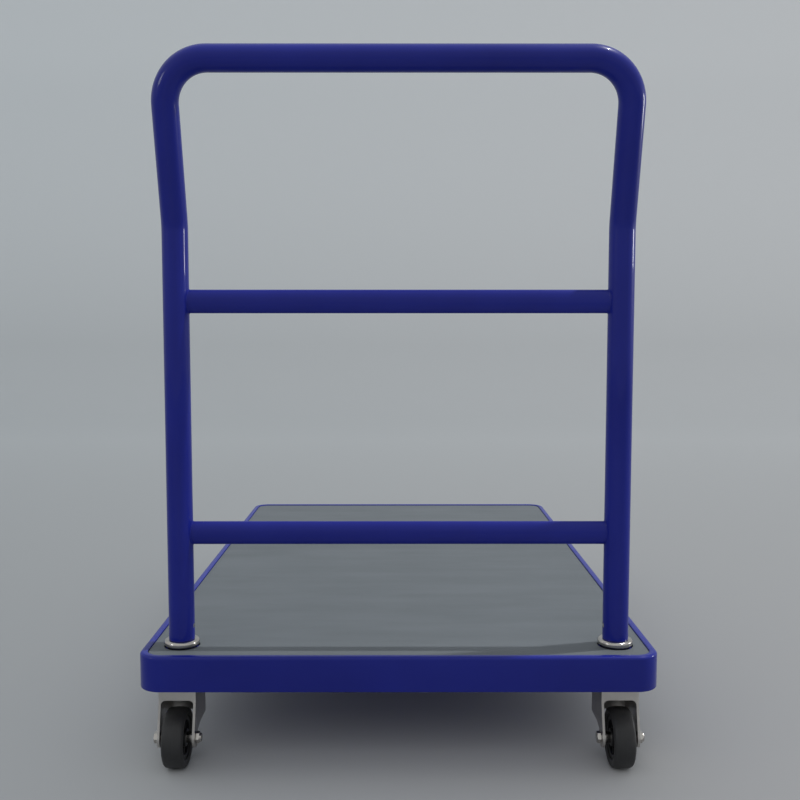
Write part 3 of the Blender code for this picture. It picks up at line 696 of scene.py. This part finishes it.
# %% Make the handle tube
outer = carry_rings(handle_path, tube_radius, AROUND)
inner = carry_rings(handle_path, tube_radius - TUBE_WALL, AROUND)
handle_mesh = skin("bent_handle", outer + inner[::-1], closed=True)
past = tube_radius * 1.4
heel_radius = pivot.z - tube_low.z
slot_top = TONGUE_ROUND + SLOT_CLEARANCE
heel = [*arc((0, 0), heel_radius, 270, 360, 16), (past, 0), (past, -past), (0, -past)]
slot = [(0, -past), (past, -past), (past, slot_top), (0, slot_top)]
for _, side in SIDES:
    foot_place = (side * post_x, pivot.y, pivot.z)
    heel_cut = draw_out("heel", heel, -past, past, "X")
    handle_mesh = join_shapes(handle_mesh, heel_cut, "DIFFERENCE", foot_place)
    width = TONGUE_HALF + SLOT_CLEARANCE
    slot_cut = draw_out("slot", slot, -width, width, "X")
    handle_mesh = join_shapes(handle_mesh, slot_cut, "DIFFERENCE", foot_place)
    pin_hole = rod("pin_hole", BOLT_HOLE, -past, past, 32, "X")
    handle_mesh = join_shapes(handle_mesh, pin_hole, "DIFFERENCE", foot_place)
bent_handle = add_piece("bent_handle", handle_mesh, powder_coat, "handle", ["handle_tube"])
print("handle tube has", len(bent_handle.data.polygons), "faces")

# %% [markdown]
# ## Cross bars and their welds
# The two cross bars are flat-oval tubes. Their ends are coped, which means cut to the curve of the post
# they meet, so the weld runs round an even seam. The cope is a Boolean cut with a rod as thick as the
# post. The weld bead is fine and follows the seam itself: round the bar, where it touches the post.

# %% Make the cross bars
BEAD = 0.8 * MM
BEAD_STEPS = 96


def seam_point(centre, side, half_y, half_z, turn):
    """A point of the seam between an oval bar and a post, at an angle round the bar."""
    y = half_y * math.cos(turn)
    z = half_z * math.sin(turn)
    reach = math.sqrt(tube_radius ** 2 - y ** 2)
    return Vector((side * (post_x - reach), centre.y + y, centre.z + z))


def cross_bar(node, name):
    """A coped oval bar between the posts, with a fine weld bead at each end."""
    centre = middle(node)
    _, half_y, half_z = half_box(node)
    loops = []
    for wall, ends in ((0, (-1, 1)), (TUBE_WALL, (1, -1))):
        oval = [((half_y - wall) * y, (half_z - wall) * z) for y, z in ring(1, AROUND)]
        loops += [[(end * post_x, y, z) for y, z in oval] for end in ends]
    mesh = skin(name, loops, closed=True)
    for _, side in SIDES:
        cope = rod("cope", tube_radius + TOUCH / 3, -past * 2, past * 2, AROUND * 2)
        mesh = join_shapes(mesh, cope, "DIFFERENCE", (side * post_x, 0, 0))
    bar = add_piece(name, mesh, powder_coat, "handle", [node], centre)
    for side_name, side in SIDES:
        turns = [2 * math.pi * step / BEAD_STEPS for step in range(BEAD_STEPS)]
        path = [seam_point(centre, side, half_y, half_z, turn) for turn in turns]
        bead = carry_rings(path, lambda index: BEAD * (1 + 0.1 * math.sin(index * 1.7)), 10, closed=True)
        bead_mesh = skin(f"weld_{name}_{side_name}", bead, closed=True)
        add_piece(bead_mesh.name, bead_mesh, powder_coat, "handle", [])
    return bar


for node in ("crossbar_low", "crossbar_mid"):
    bar = cross_bar(node, f"bar_{node.split('_')[1]}")
    print(bar.name, "spans", round(2 * (post_x - tube_radius) / MM), "mm between the posts")

# %% [markdown]
# ## Feet, collars and pivot pins
# Each foot is turned from bar: a stud below, a collar with round edges and a flat tongue that stands
# inside the tube. The turned part and the tongue are joined into one solid and drilled for the pin.
# Because the collar's lower edge is round too, a soft dark line forms where it meets the mat.

# %% Make the feet
def hex_blank(name, flats, low, high, axis, bevels):
    """A hexagon with its corners turned off at one or both ends, as on a real nut or screw head."""
    corner = flats / math.sqrt(3) + TOUCH
    chamfer = corner - flats / 2 * 0.97
    drop = chamfer * math.tan(math.radians(30))
    first = [(ON_AXIS, low), (corner - chamfer, low), (corner, low + drop)] if bevels[0] else \
        [(ON_AXIS, low), (corner, low)]
    last = [(corner, high - drop), (corner - chamfer, high), (ON_AXIS, high)] if bevels[1] else \
        [(corner, high), (ON_AXIS, high)]
    blank = draw_out(name, hexagon(flats), low, high, axis)
    return join_shapes(blank, turn_profile("chamfer", first + last, 64, axis), "INTERSECT")


def build_foot(side_name):
    """Foot and nut of one post, with the pin that the tube turns on."""
    node = f"foot_{side_name}"
    low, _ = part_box(node)
    spot = foot_middles[side_name]
    collar_top = tube_low.z - TOUCH
    seat = sheet_top + TOUCH
    profile = [(ON_AXIS, low.z), (STUD_RADIUS - MM, low.z), (STUD_RADIUS, low.z + MM)]
    profile += [(STUD_RADIUS, seat), (seat_radius, seat)]
    profile += arc((seat_radius, mat_high.z + TOUCH + COLLAR_ROUND), COLLAR_ROUND, -90, 0, 10)
    profile += arc((seat_radius, collar_top - COLLAR_ROUND), COLLAR_ROUND, 0, 90, 10)
    profile += [(ON_AXIS, collar_top)]
    mesh = turn_profile(f"plated_{node}", profile, 96)
    base = collar_top - pivot.z - MM
    outline = [(TONGUE_ROUND, base), *arc((0, 0), TONGUE_ROUND, 0, 180, 24), (-TONGUE_ROUND, base)]
    tongue = draw_out("tongue", outline, -TONGUE_HALF, TONGUE_HALF, "X")
    mesh = join_shapes(mesh, tongue, "UNION", (0, 0, pivot.z))
    mesh = join_shapes(mesh, rod("bore", BOLT_HOLE, -past, past, 32, "X"), "DIFFERENCE", (0, 0, pivot.z))
    place = (spot.x, spot.y, 0)
    add_piece(mesh.name, mesh, bright_plate, "cart", [node], place, 0.3 * MM)
    nut_low, nut_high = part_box(f"foot_nut_{side_name}")
    flats = nut_high.y - nut_low.y
    nut = hex_blank(f"stud_nut_{side_name}", flats, nut_low.z, nut_high.z, "Z", (True, False))
    thread = rod("thread", STUD_RADIUS + TOUCH, nut_low.z - MM, nut_high.z + MM)
    nut = join_shapes(nut, thread, "DIFFERENCE")
    add_piece(nut.name, nut, bright_plate, "cart", [f"foot_nut_{side_name}"], place)
    pin_node = f"pivot_pin_{side_name}"
    reach, _, radius = half_box(pin_node)
    end = [(ON_AXIS, -reach), (radius * 0.6, -reach), (radius, -reach + 0.9 * MM)]
    pin = turn_profile(f"hinge_pin_{side_name}", there_and_back(end), 32, "X")
    add_piece(pin.name, pin, bright_plate, "handle", [pin_node], middle(pin_node))


for side_name, _ in SIDES:
    build_foot(side_name)
print("feet stand", round((tube_low.z - deck_top) / MM, 1), "mm above the deck lip")

# %% [markdown]
# ## Wheels
# Each wheel is a moulded core with a rubber tyre round it. The tyre's section has a slightly crowned
# tread, round shoulders and a shallow step in the sidewall. The core has a hub, a thin web stiffened by
# ribs on both faces and a rim. Both are turned, and the ribs are joined on as blocks before shading.

# %% Make the wheels
RIBS = 8
RIB_HALF = 1.3 * MM
RIM_HALF = 10.5 * MM              # half the width of the core's rim


def tyre_section(radius, half, seat, lip):
    """Half of the tyre section, from its seat out to the crown. The other half mirrors it."""
    shoulder = 4.5 * MM
    crown = 0.8 * MM
    points = [(seat, lip), (seat + 0.6 * MM, half - 1.4 * MM), (seat + 2 * MM, half - 0.4 * MM)]
    points += [(seat + 3 * MM, half - 0.9 * MM), (radius - shoulder - crown, half)]
    points += arc((radius - shoulder - crown, half - shoulder), shoulder, 80, 12, 8)
    inner = points[-1][1]
    for step in range(1, 6):
        across = inner * (1 - step / 5)
        points.append((radius - (radius - points[-step][0]) * (across / inner) ** 2, across))
    return points


def wheel_core_mesh(name, hub, radius):
    """Hub, web, rim and ribs of a wheel core, round the X axis, from half its width and its radius."""
    web = 3.5 * MM
    bore, boss, inner_rim = 7.3 * MM, 11 * MM, radius - 4.5 * MM
    half = [(bore, hub), (boss - 0.8 * MM, hub), (boss, hub - 0.8 * MM), (boss + 0.6 * MM, web + MM)]
    half += [(boss + 1.6 * MM, web), (inner_rim - 1.6 * MM, web), (inner_rim - 0.4 * MM, web + MM)]
    half += [(inner_rim, RIM_HALF - 0.6 * MM), (inner_rim + 0.6 * MM, RIM_HALF), (radius, RIM_HALF)]
    mesh = turn_profile(name, there_and_back(half), 96, "X")
    for step in range(RIBS):
        turn = Matrix.Rotation(2 * math.pi * step / RIBS, 4, "X")
        reach = RIM_HALF - 2.2 * MM
        low_z, high_z = boss - MM, inner_rim + MM
        outline = [(-reach, low_z), (reach, low_z), (reach, high_z), (-reach, high_z)]
        rib = draw_out("rib", outline, -RIB_HALF, RIB_HALF, "Y")
        rib.transform(turn)
        mesh = join_shapes(mesh, rib, "UNION")
    return mesh


tyre_half, _, tyre_radius = half_box("tyre_rear_left")
hub_half, _, core_radius = half_box("wheel_core_rear_left")
to_crown = tyre_section(tyre_radius, tyre_half, core_radius + TOUCH, RIM_HALF)
from_crown = [(radius, -across) for radius, across in reversed(to_crown[:-1])]
tyre_mesh = turn_profile("tyre", to_crown + from_crown, 128, "X")
core_mesh = wheel_core_mesh("core", hub_half, core_radius)
for end in ("front", "rear"):
    for side_name, _ in SIDES:
        body = f"wheel_{end}_{side_name}"
        centre = middle(f"tyre_{end}_{side_name}")
        add_piece(f"rubber_{body}", tyre_mesh, tyre_rubber, body,
                  [f"tyre_{end}_{side_name}"], centre)
        add_piece(f"core_{body}", core_mesh, wheel_plastic, body,
                  [f"wheel_core_{end}_{side_name}"], centre)
print("wheels are", round(2 * tyre_radius / MM), "mm across, with", RIBS, "ribs a side")

# %% [markdown]
# ## Forks and brackets
# A caster fork is pressed from one sheet: a flat crown with two legs folded down. Looked at from the
# front it is an upside-down U with bend radii, and from the side it has its own outline, wide at the top
# and running down to a round lug at the axle. Intersecting the drawn-out U with the drawn-out side
# outline gives exactly that pressing. A skirt with round corners closes the front above the tyre, and a
# web stiffens the back. The fixed brackets are made the same way, with their plate in the section.

# %% Make the forks and brackets
PRESSED = 3 * MM
FORK_BEND = 6 * MM
LUG = 12.5 * MM
SKIRT = 13 * MM                   # depth of the front skirt below the crown
WAIST = 48 * MM                   # height of the fork's lower edge behind the lug
LOWER_ROUND = 3 * MM
KINGPIN_HOLE = 6.3 * MM
LEG_OUT = 23.5 * MM               # from the middle of a bracket to the outside of its leg
LEG_HALF = 21.5 * MM              # half the width of a bracket's leg at its plate
LEG_DROP = 60 * MM                # how far down a bracket's leg keeps that width


def drill(mesh, spots, radius, axis="Z", reach=40 * MM):
    """Drill round holes along an axis at the given places."""
    for spot in spots:
        mesh = join_shapes(mesh, rod("drill", radius, -reach, reach, 32, axis), "DIFFERENCE", spot)
    return mesh


def pressed_fork(side_name):
    """A swivel fork trailing back to its axle: crown, two legs, a skirt in front and a web behind."""
    node = f"fork_front_{side_name}"
    _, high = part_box(node)
    kingpin = middle(f"kingpin_front_{side_name}")
    axle = middle(f"tyre_front_{side_name}")
    trail = kingpin.y - axle.y
    half = high.y - kingpin.y
    reach = half_box(node).x
    inside = reach - PRESSED
    skirt_low = high.z - PRESSED - SKIRT
    side = [(-half, high.z), (-half, skirt_low - PRESSED), *arc((-trail, axle.z), LUG, 160, 385, 40)]
    side += [(-trail + 2 * LUG, WAIST)]
    side += arc((half - LOWER_ROUND, WAIST + LOWER_ROUND), LOWER_ROUND, 270, 360, 8)
    side += [(half, high.z)]
    bend = (reach - FORK_BEND, high.z - FORK_BEND)
    outer = [(reach, 0), *arc(bend, FORK_BEND, 0, 90, 8)]
    inner = [(inside, 0), *arc(bend, FORK_BEND - PRESSED, 0, 90, 8)]
    mirrored = [(-x, z) for x, z in inner]
    outline = outer + [(-x, z) for x, z in reversed(outer)] + mirrored + inner[::-1]
    mesh = draw_out(f"pressed_{node}", outline, -2 * half - trail, 2 * half, "Y")
    mesh = join_shapes(mesh, draw_out("side", side, -2 * reach, 2 * reach, "X"), "INTERSECT")
    between = inside + TOUCH
    top = high.z - PRESSED + TOUCH
    corner = (inside - FORK_BEND, skirt_low - FORK_BEND)
    skirt = [(between, top), (between, corner[1]), *arc(corner, FORK_BEND, 0, 90, 10)]
    skirt += [(-x, z) for x, z in reversed(skirt)]
    web = [(between, top), (between, WAIST + LOWER_ROUND), (-between, WAIST + LOWER_ROUND), (-between, top)]
    mesh = join_shapes(mesh, draw_out("skirt", skirt, -half, PRESSED - half, "Y"), "UNION")
    mesh = join_shapes(mesh, draw_out("web", web, half - PRESSED, half, "Y"), "UNION")
    mesh = drill(mesh, [(0, 0, high.z)], KINGPIN_HOLE, reach=10 * MM)
    mesh = drill(mesh, [(0, -trail, axle.z)], BOLT_HOLE, "X")
    place = (kingpin.x, kingpin.y, 0)
    body = f"swivel_{side_name}"
    return add_piece(mesh.name, mesh, satin_zinc, body, [node], place, 0.6 * MM, 3)


def pressed_bracket(side_name):
    """A fixed bracket: plate with four screw holes and two straight legs, centred over its axle."""
    node = f"bracket_rear_{side_name}"
    low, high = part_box(node)
    centre = middle(node)
    axle = middle(f"tyre_rear_{side_name}")
    under = high.z - PRESSED
    edge, plate_half, _ = half_box(node)
    leg_end = under - LEG_DROP
    side = [(-plate_half, high.z), (-plate_half, under), (-LEG_HALF, under), (-LEG_HALF, leg_end)]
    side += arc((0, axle.z), LUG, 160, 380, 40)
    side += [(LEG_HALF, leg_end), (LEG_HALF, under), (plate_half, under), (plate_half, high.z)]
    inside = LEG_OUT - PRESSED
    right = [(edge, under), *arc((LEG_OUT + 2 * MM, under - 2 * MM), 2 * MM, 90, 180, 4)]
    right += [(LEG_OUT, 0), (inside, 0), (inside, under - 3 * MM)]
    right += arc((inside - 3 * MM, under - 3 * MM), 3 * MM, 0, 90, 4)
    outline = [(-edge, high.z), (edge, high.z), *right, *[(-x, z) for x, z in reversed(right)]]
    mesh = draw_out(f"pressed_{node}", outline, low.y - centre.y - MM, high.y - centre.y + MM, "Y")
    mesh = join_shapes(mesh, draw_out("side", side, -2 * edge, 2 * edge, "X"), "INTERSECT")
    spots = [middle(f"mount_screw_rear_{side_name}_{number}") - Vector((centre.x, centre.y, 0))
             for number in range(1, 5)]
    mesh = drill(mesh, [(spot.x, spot.y, high.z) for spot in spots], BOLT_HOLE, reach=8 * MM)
    mesh = drill(mesh, [(0, 0, axle.z)], BOLT_HOLE, "X")
    place = (centre.x, centre.y, 0)
    return add_piece(mesh.name, mesh, satin_zinc, "cart", [node], place, 0.6 * MM)


for side_name, _ in SIDES:
    fork = pressed_fork(side_name)
    bracket = pressed_bracket(side_name)
    print(fork.name, len(fork.data.polygons), "faces,", bracket.name, len(bracket.data.polygons), "faces")

# %% [markdown]
# ## Plates, bearings and kingpins
# Above each swivel fork sit a mounting plate with round corners, a double row of pressed races with a
# groove between them, and the kingpin whose head shows under the crown.

# %% Make the swivel parts
def swivel_parts(side_name):
    """Mounting plate, pressed races and kingpin of one swivel caster."""
    plate_node = f"caster_plate_front_{side_name}"
    low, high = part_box(plate_node)
    centre = middle(plate_node)
    place = (centre.x, centre.y, 0)
    half = half_box(plate_node)
    outline = rounded_rectangle(half.x, half.y, FORK_BEND, 8)
    mesh = draw_out(f"mounting_{plate_node}", outline, low.z, high.z)
    spots = [middle(f"mount_screw_front_{side_name}_{number}") - centre for number in range(1, 5)]
    mesh = drill(mesh, [(spot.x, spot.y, high.z) for spot in spots], BOLT_HOLE, reach=8 * MM)
    mesh = drill(mesh, [(0, 0, high.z)], KINGPIN_HOLE, reach=8 * MM)
    add_piece(mesh.name, mesh, satin_zinc, "cart", [plate_node], place, 0.5 * MM)

    race_node = f"swivel_bearing_front_{side_name}"
    low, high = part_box(race_node)
    radius = half_box(race_node).x
    level = middle(race_node).z
    bore = KINGPIN_HOLE + 0.1 * MM
    profile = [(bore, low.z), (radius - 5 * MM, low.z)]
    profile += arc((radius - 2.6 * MM, level - 3.2 * MM), 2.6 * MM, 300, 360, 6)
    profile += [(radius, level - 0.9 * MM), (radius - 4 * MM, level - 0.6 * MM)]
    profile += [(radius - 4 * MM, level + 0.6 * MM), (radius - 1.5 * MM, level + 0.9 * MM)]
    profile += arc((radius - 3.5 * MM, high.z - 2 * MM), 2 * MM, 0, 90, 6)
    profile += [(bore, high.z)]
    mesh = turn_profile(f"pressed_races_{side_name}", profile, 96)
    add_piece(mesh.name, mesh, satin_zinc, "cart", [race_node], place)

    pin_node = f"kingpin_front_{side_name}"
    low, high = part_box(pin_node)
    head = half_box(pin_node).x
    shank = KINGPIN_HOLE - TOUCH
    profile = [(ON_AXIS, low.z), (head * 0.55, low.z + 0.1 * MM)]
    profile += arc((head - 2 * MM, low.z + 2.4 * MM), 2 * MM, 290, 360, 5)
    profile += [(head, low.z + 4 * MM), (shank, low.z + 4 * MM), (shank, high.z), (ON_AXIS, high.z)]
    mesh = turn_profile(f"riveted_{pin_node}", profile, 48)
    add_piece(mesh.name, mesh, bright_plate, "cart", [pin_node], place)


for side_name, _ in SIDES:
    swivel_parts(side_name)
print("swivel parts made for both front casters")

# %% [markdown]
# ## Axles and screws
# Fasteners sell the scale of a machine, so they get real heads. A hexagon head is a hexagon whose corners
# are turned off at thirty degrees, made here by intersecting it with a turned blank. The bolt ends show a
# few turns of thread past the nut, and the nuts have the plain collar that locking nuts have.

# %% Make the axles and screws
THREAD_PITCH = 1.25 * MM
BOLT_RADIUS = 4 * MM
HEAD_HEIGHT = 5.3 * MM            # of a bolt or screw, with its washer face
WASHER_FACE = 0.6 * MM


def threaded_profile(radius, low, high):
    """A rod profile whose last stretch is ridged like a thread."""
    points = []
    rows = int((high - low) / THREAD_PITCH)
    for row in range(rows):
        base = low + row * THREAD_PITCH
        points += [(radius - 0.6 * MM, base), (radius, base + THREAD_PITCH / 2)]
    return points + [(radius - 0.9 * MM, high)]


def axle_set(end, side_name, body):
    """Axle bolt, locking nut and spacer sleeve of one wheel."""
    name = f"{end}_{side_name}"
    centre = middle(f"tyre_{name}")
    head_end, tip = (corner.x - centre.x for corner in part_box(f"axle_bolt_{name}"))
    nut_inner, nut_outer = (corner.x - centre.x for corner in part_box(f"axle_nut_{name}"))
    flats = 2 * half_box(f"axle_bolt_{name}").z
    head_inner = head_end + HEAD_HEIGHT
    head = hex_blank(f"bolt_{name}", flats, head_end, head_inner - WASHER_FACE, "X", (True, False))
    profile = [(ON_AXIS, head_inner - MM), (flats / 2, head_inner - MM), (flats / 2, head_inner)]
    profile += [(BOLT_RADIUS, head_inner), *threaded_profile(BOLT_RADIUS, nut_inner, tip), (ON_AXIS, tip)]
    mesh = join_shapes(head, turn_profile("shank", profile, 48, "X"), "UNION")
    add_piece(mesh.name, mesh, bright_plate, body, [f"axle_bolt_{name}"], centre)

    collar_start = nut_outer - 2 * MM
    nut = hex_blank(f"lock_nut_{name}", flats, nut_inner, collar_start, "X", (False, True))
    collar = [(BOLT_HOLE, collar_start - MM), (5.6 * MM, collar_start - MM)]
    collar += arc((4.9 * MM, nut_outer - 0.7 * MM), 0.7 * MM, 0, 90, 4) + [(BOLT_HOLE, nut_outer)]
    nut = join_shapes(nut, turn_profile("collar", collar, 48, "X"), "UNION")
    nut = drill(nut, [(0, 0, 0)], BOLT_HOLE, "X")
    add_piece(nut.name, nut, bright_plate, body, [f"axle_nut_{name}"], centre)

    reach, _, radius = half_box(f"axle_sleeve_{name}")
    wall = [(BOLT_HOLE, -reach), (radius - 0.5 * MM, -reach), (radius, -reach + 0.5 * MM)]
    sleeve = turn_profile(f"spacer_{name}", there_and_back(wall), 64, "X")
    add_piece(sleeve.name, sleeve, bright_plate, body, [f"axle_sleeve_{name}"], centre)


def mount_screw_mesh():
    """One mounting screw, centred on its own axis: head below, washer face, thread above."""
    low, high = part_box("mount_screw_front_left_1")
    flats = high.y - low.y
    head_top = low.z + HEAD_HEIGHT
    head = hex_blank("screw", flats, low.z, head_top - WASHER_FACE, "Z", (True, False))
    rim = flats / 2 + 0.6 * MM
    profile = [(ON_AXIS, head_top - MM), (rim, head_top - MM), (rim, head_top), (BOLT_RADIUS, head_top)]
    profile += [*threaded_profile(BOLT_RADIUS, head_top + 6 * MM, high.z), (ON_AXIS, high.z)]
    return join_shapes(head, turn_profile("shank", profile, 32), "UNION")


for side_name, _ in SIDES:
    axle_set("front", side_name, f"swivel_{side_name}")
    axle_set("rear", side_name, "cart")
screw_mesh = mount_screw_mesh()
for node in sorted(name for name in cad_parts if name.startswith("mount_screw")):
    place = (*middle(node).xy, 0)
    name = node.replace("mount_screw", "hex_screw")
    add_piece(name, screw_mesh, bright_plate, "cart", [node], place)
print("fasteners made, each screw", len(screw_mesh.polygons), "faces")

# %% [markdown]
# ## Stage and light
# The cart stands on a plain pale floor that curves up into a backdrop, so no horizon line shows. The paper
# carries painted shading: painted shade near the front, painted light up the wall and on the right. A small
# strong light high on the right gives the clear shadows of the bars on the mat, and two weak ones beside
# the cart draw pale lines along the tubes. These three light the cart only, and one broad light in front
# lights only the floor. The sky, brighter overhead, fills the rest.

# %% Build the stage
# Paper colours with painted shading: the near pair is painted shade, the turn and wall pairs painted light.
PAPER_NEAR_PAINTED_SHADE = ((0.455, 0.47, 0.48), (0.525, 0.525, 0.53))
PAPER_TURN_PAINTED_SHADING = ((0.61, 0.637, 0.652), (0.70, 0.712, 0.72))
PAPER_WALL_PAINTED_LIGHT = ((0.87, 0.91, 0.93), (0.95, 0.965, 0.975))


def paper_with_painted_shading():
    """Pale grey paper with painted shading: painted shade near the front, painted light up the wall and on
    the right.
    """
    made, tree, shader = start_material("pale_paper_painted_shading")
    place = add_node(tree, "ShaderNodeTexCoord").outputs["Object"]
    parts = add_node(tree, "ShaderNodeSeparateXYZ", Vector=place).outputs
    along = math_node(tree, "ADD", parts["Y"], parts["Z"])
    aside = math_node(tree, "DIVIDE", parts["X"], math_node(tree, "ADD", parts["Y"], 1.7))
    side = stretch_range(tree, aside, -0.42, 0.42)
    # The right-hand colour of each pair is lighter: painted light on the right side.
    near, turn, wall = (mix_colours(tree, side, (*left, 1), (*right, 1))
                        for left, right in (PAPER_NEAR_PAINTED_SHADE, PAPER_TURN_PAINTED_SHADING, PAPER_WALL_PAINTED_LIGHT))
    # Painted shade towards the front of the floor, painted light up the turn and the wall.
    floor = mix_colours(tree, stretch_range(tree, along, -0.6, 3.0), near, turn)
    feed(tree, shader, "Base Color", mix_colours(tree, stretch_range(tree, along, 5.8, 9.3), floor, wall))
    shader.inputs["Roughness"].default_value = 0.9
    shader.inputs["Specular IOR Level"].default_value = 0.1
    return made


def stage_sheet():
    """A floor that turns up into a wall on a large round."""
    near_edge, turn_start, bend = -6.0, 4.0, 2.5
    line = [(near_edge, 0.0), *arc((turn_start, bend), bend, 270, 360, 24), (turn_start + bend, 9.0)]
    shape = bmesh.new()
    rows = [[shape.verts.new((x, y, z)) for y, z in line] for x in (-9.0, 9.0)]
    for step in range(len(line) - 1):
        shape.faces.new((rows[0][step], rows[1][step], rows[1][step + 1], rows[0][step + 1]))
    made = bpy.data.meshes.new("stage")
    shape.to_mesh(made)
    shape.free()
    made.shade_smooth()
    return made


backdrop = bpy.data.objects.new("stage", stage_sheet())
bpy.context.collection.objects.link(backdrop)
backdrop.data.materials.append(paper_with_painted_shading())
print("stage built")

# %% Set the lights
TARGET = Vector((0, deck_low.y + 250 * MM, deck_top))


def light_only(light, thing, link_state):
    """Let a light reach one thing only, or everything but that thing."""
    lit = bpy.data.collections.new(f"{light.name}_and_{thing.name}")
    lit.objects.link(thing)
    light.light_linking.receiver_collection = lit
    lit.collection_objects[0].light_linking.link_state = link_state


def add_light(name, direction, distance, size, power, colour=(1, 1, 1)):
    """A square area light that looks at the cart from a direction."""
    data = bpy.data.lights.new(name, "AREA")
    data.size = size
    data.energy = power
    data.color = colour
    light = bpy.data.objects.new(name, data)
    bpy.context.collection.objects.link(light)
    away = Vector(direction).normalized()
    light.location = TARGET + away * distance
    light.rotation_euler = away.to_track_quat("Z", "Y").to_euler()
    return light


key = add_light("key", (0.485, 0.093, 1.0), 12.0, 0.3, 800, (1.0, 0.99, 0.975))
streak_left = add_light("streak_left", (-1.0, -0.6, 0.5), 3.0, 0.5, 5, (0.95, 0.97, 1.0))
streak_right = add_light("streak_right", (1.0, 0.1, 0.3), 3.0, 0.5, 15)
for light in (key, streak_left, streak_right):
    light_only(light, backdrop, "EXCLUDE")
light_only(add_light("floor_front", (0.0, -0.8, 0.6), 3.5, 1.6, 15), backdrop, "INCLUDE")

HORIZON = (0.43, 0.44, 0.45, 1)
OVERHEAD = (0.63, 0.65, 0.665, 1)

world = bpy.data.worlds.new("studio")
world.use_nodes = True
tree = world.node_tree
direction = add_node(tree, "ShaderNodeTexCoord").outputs["Generated"]
height = add_node(tree, "ShaderNodeSeparateXYZ", Vector=direction).outputs["Z"]
dome = mix_colours(tree, stretch_range(tree, height, 0.0, 0.8), HORIZON, OVERHEAD)
feed(tree, tree.nodes["Background"], "Color", dome)
bpy.context.scene.world = world
bpy.context.scene.view_settings.view_transform = "Standard"
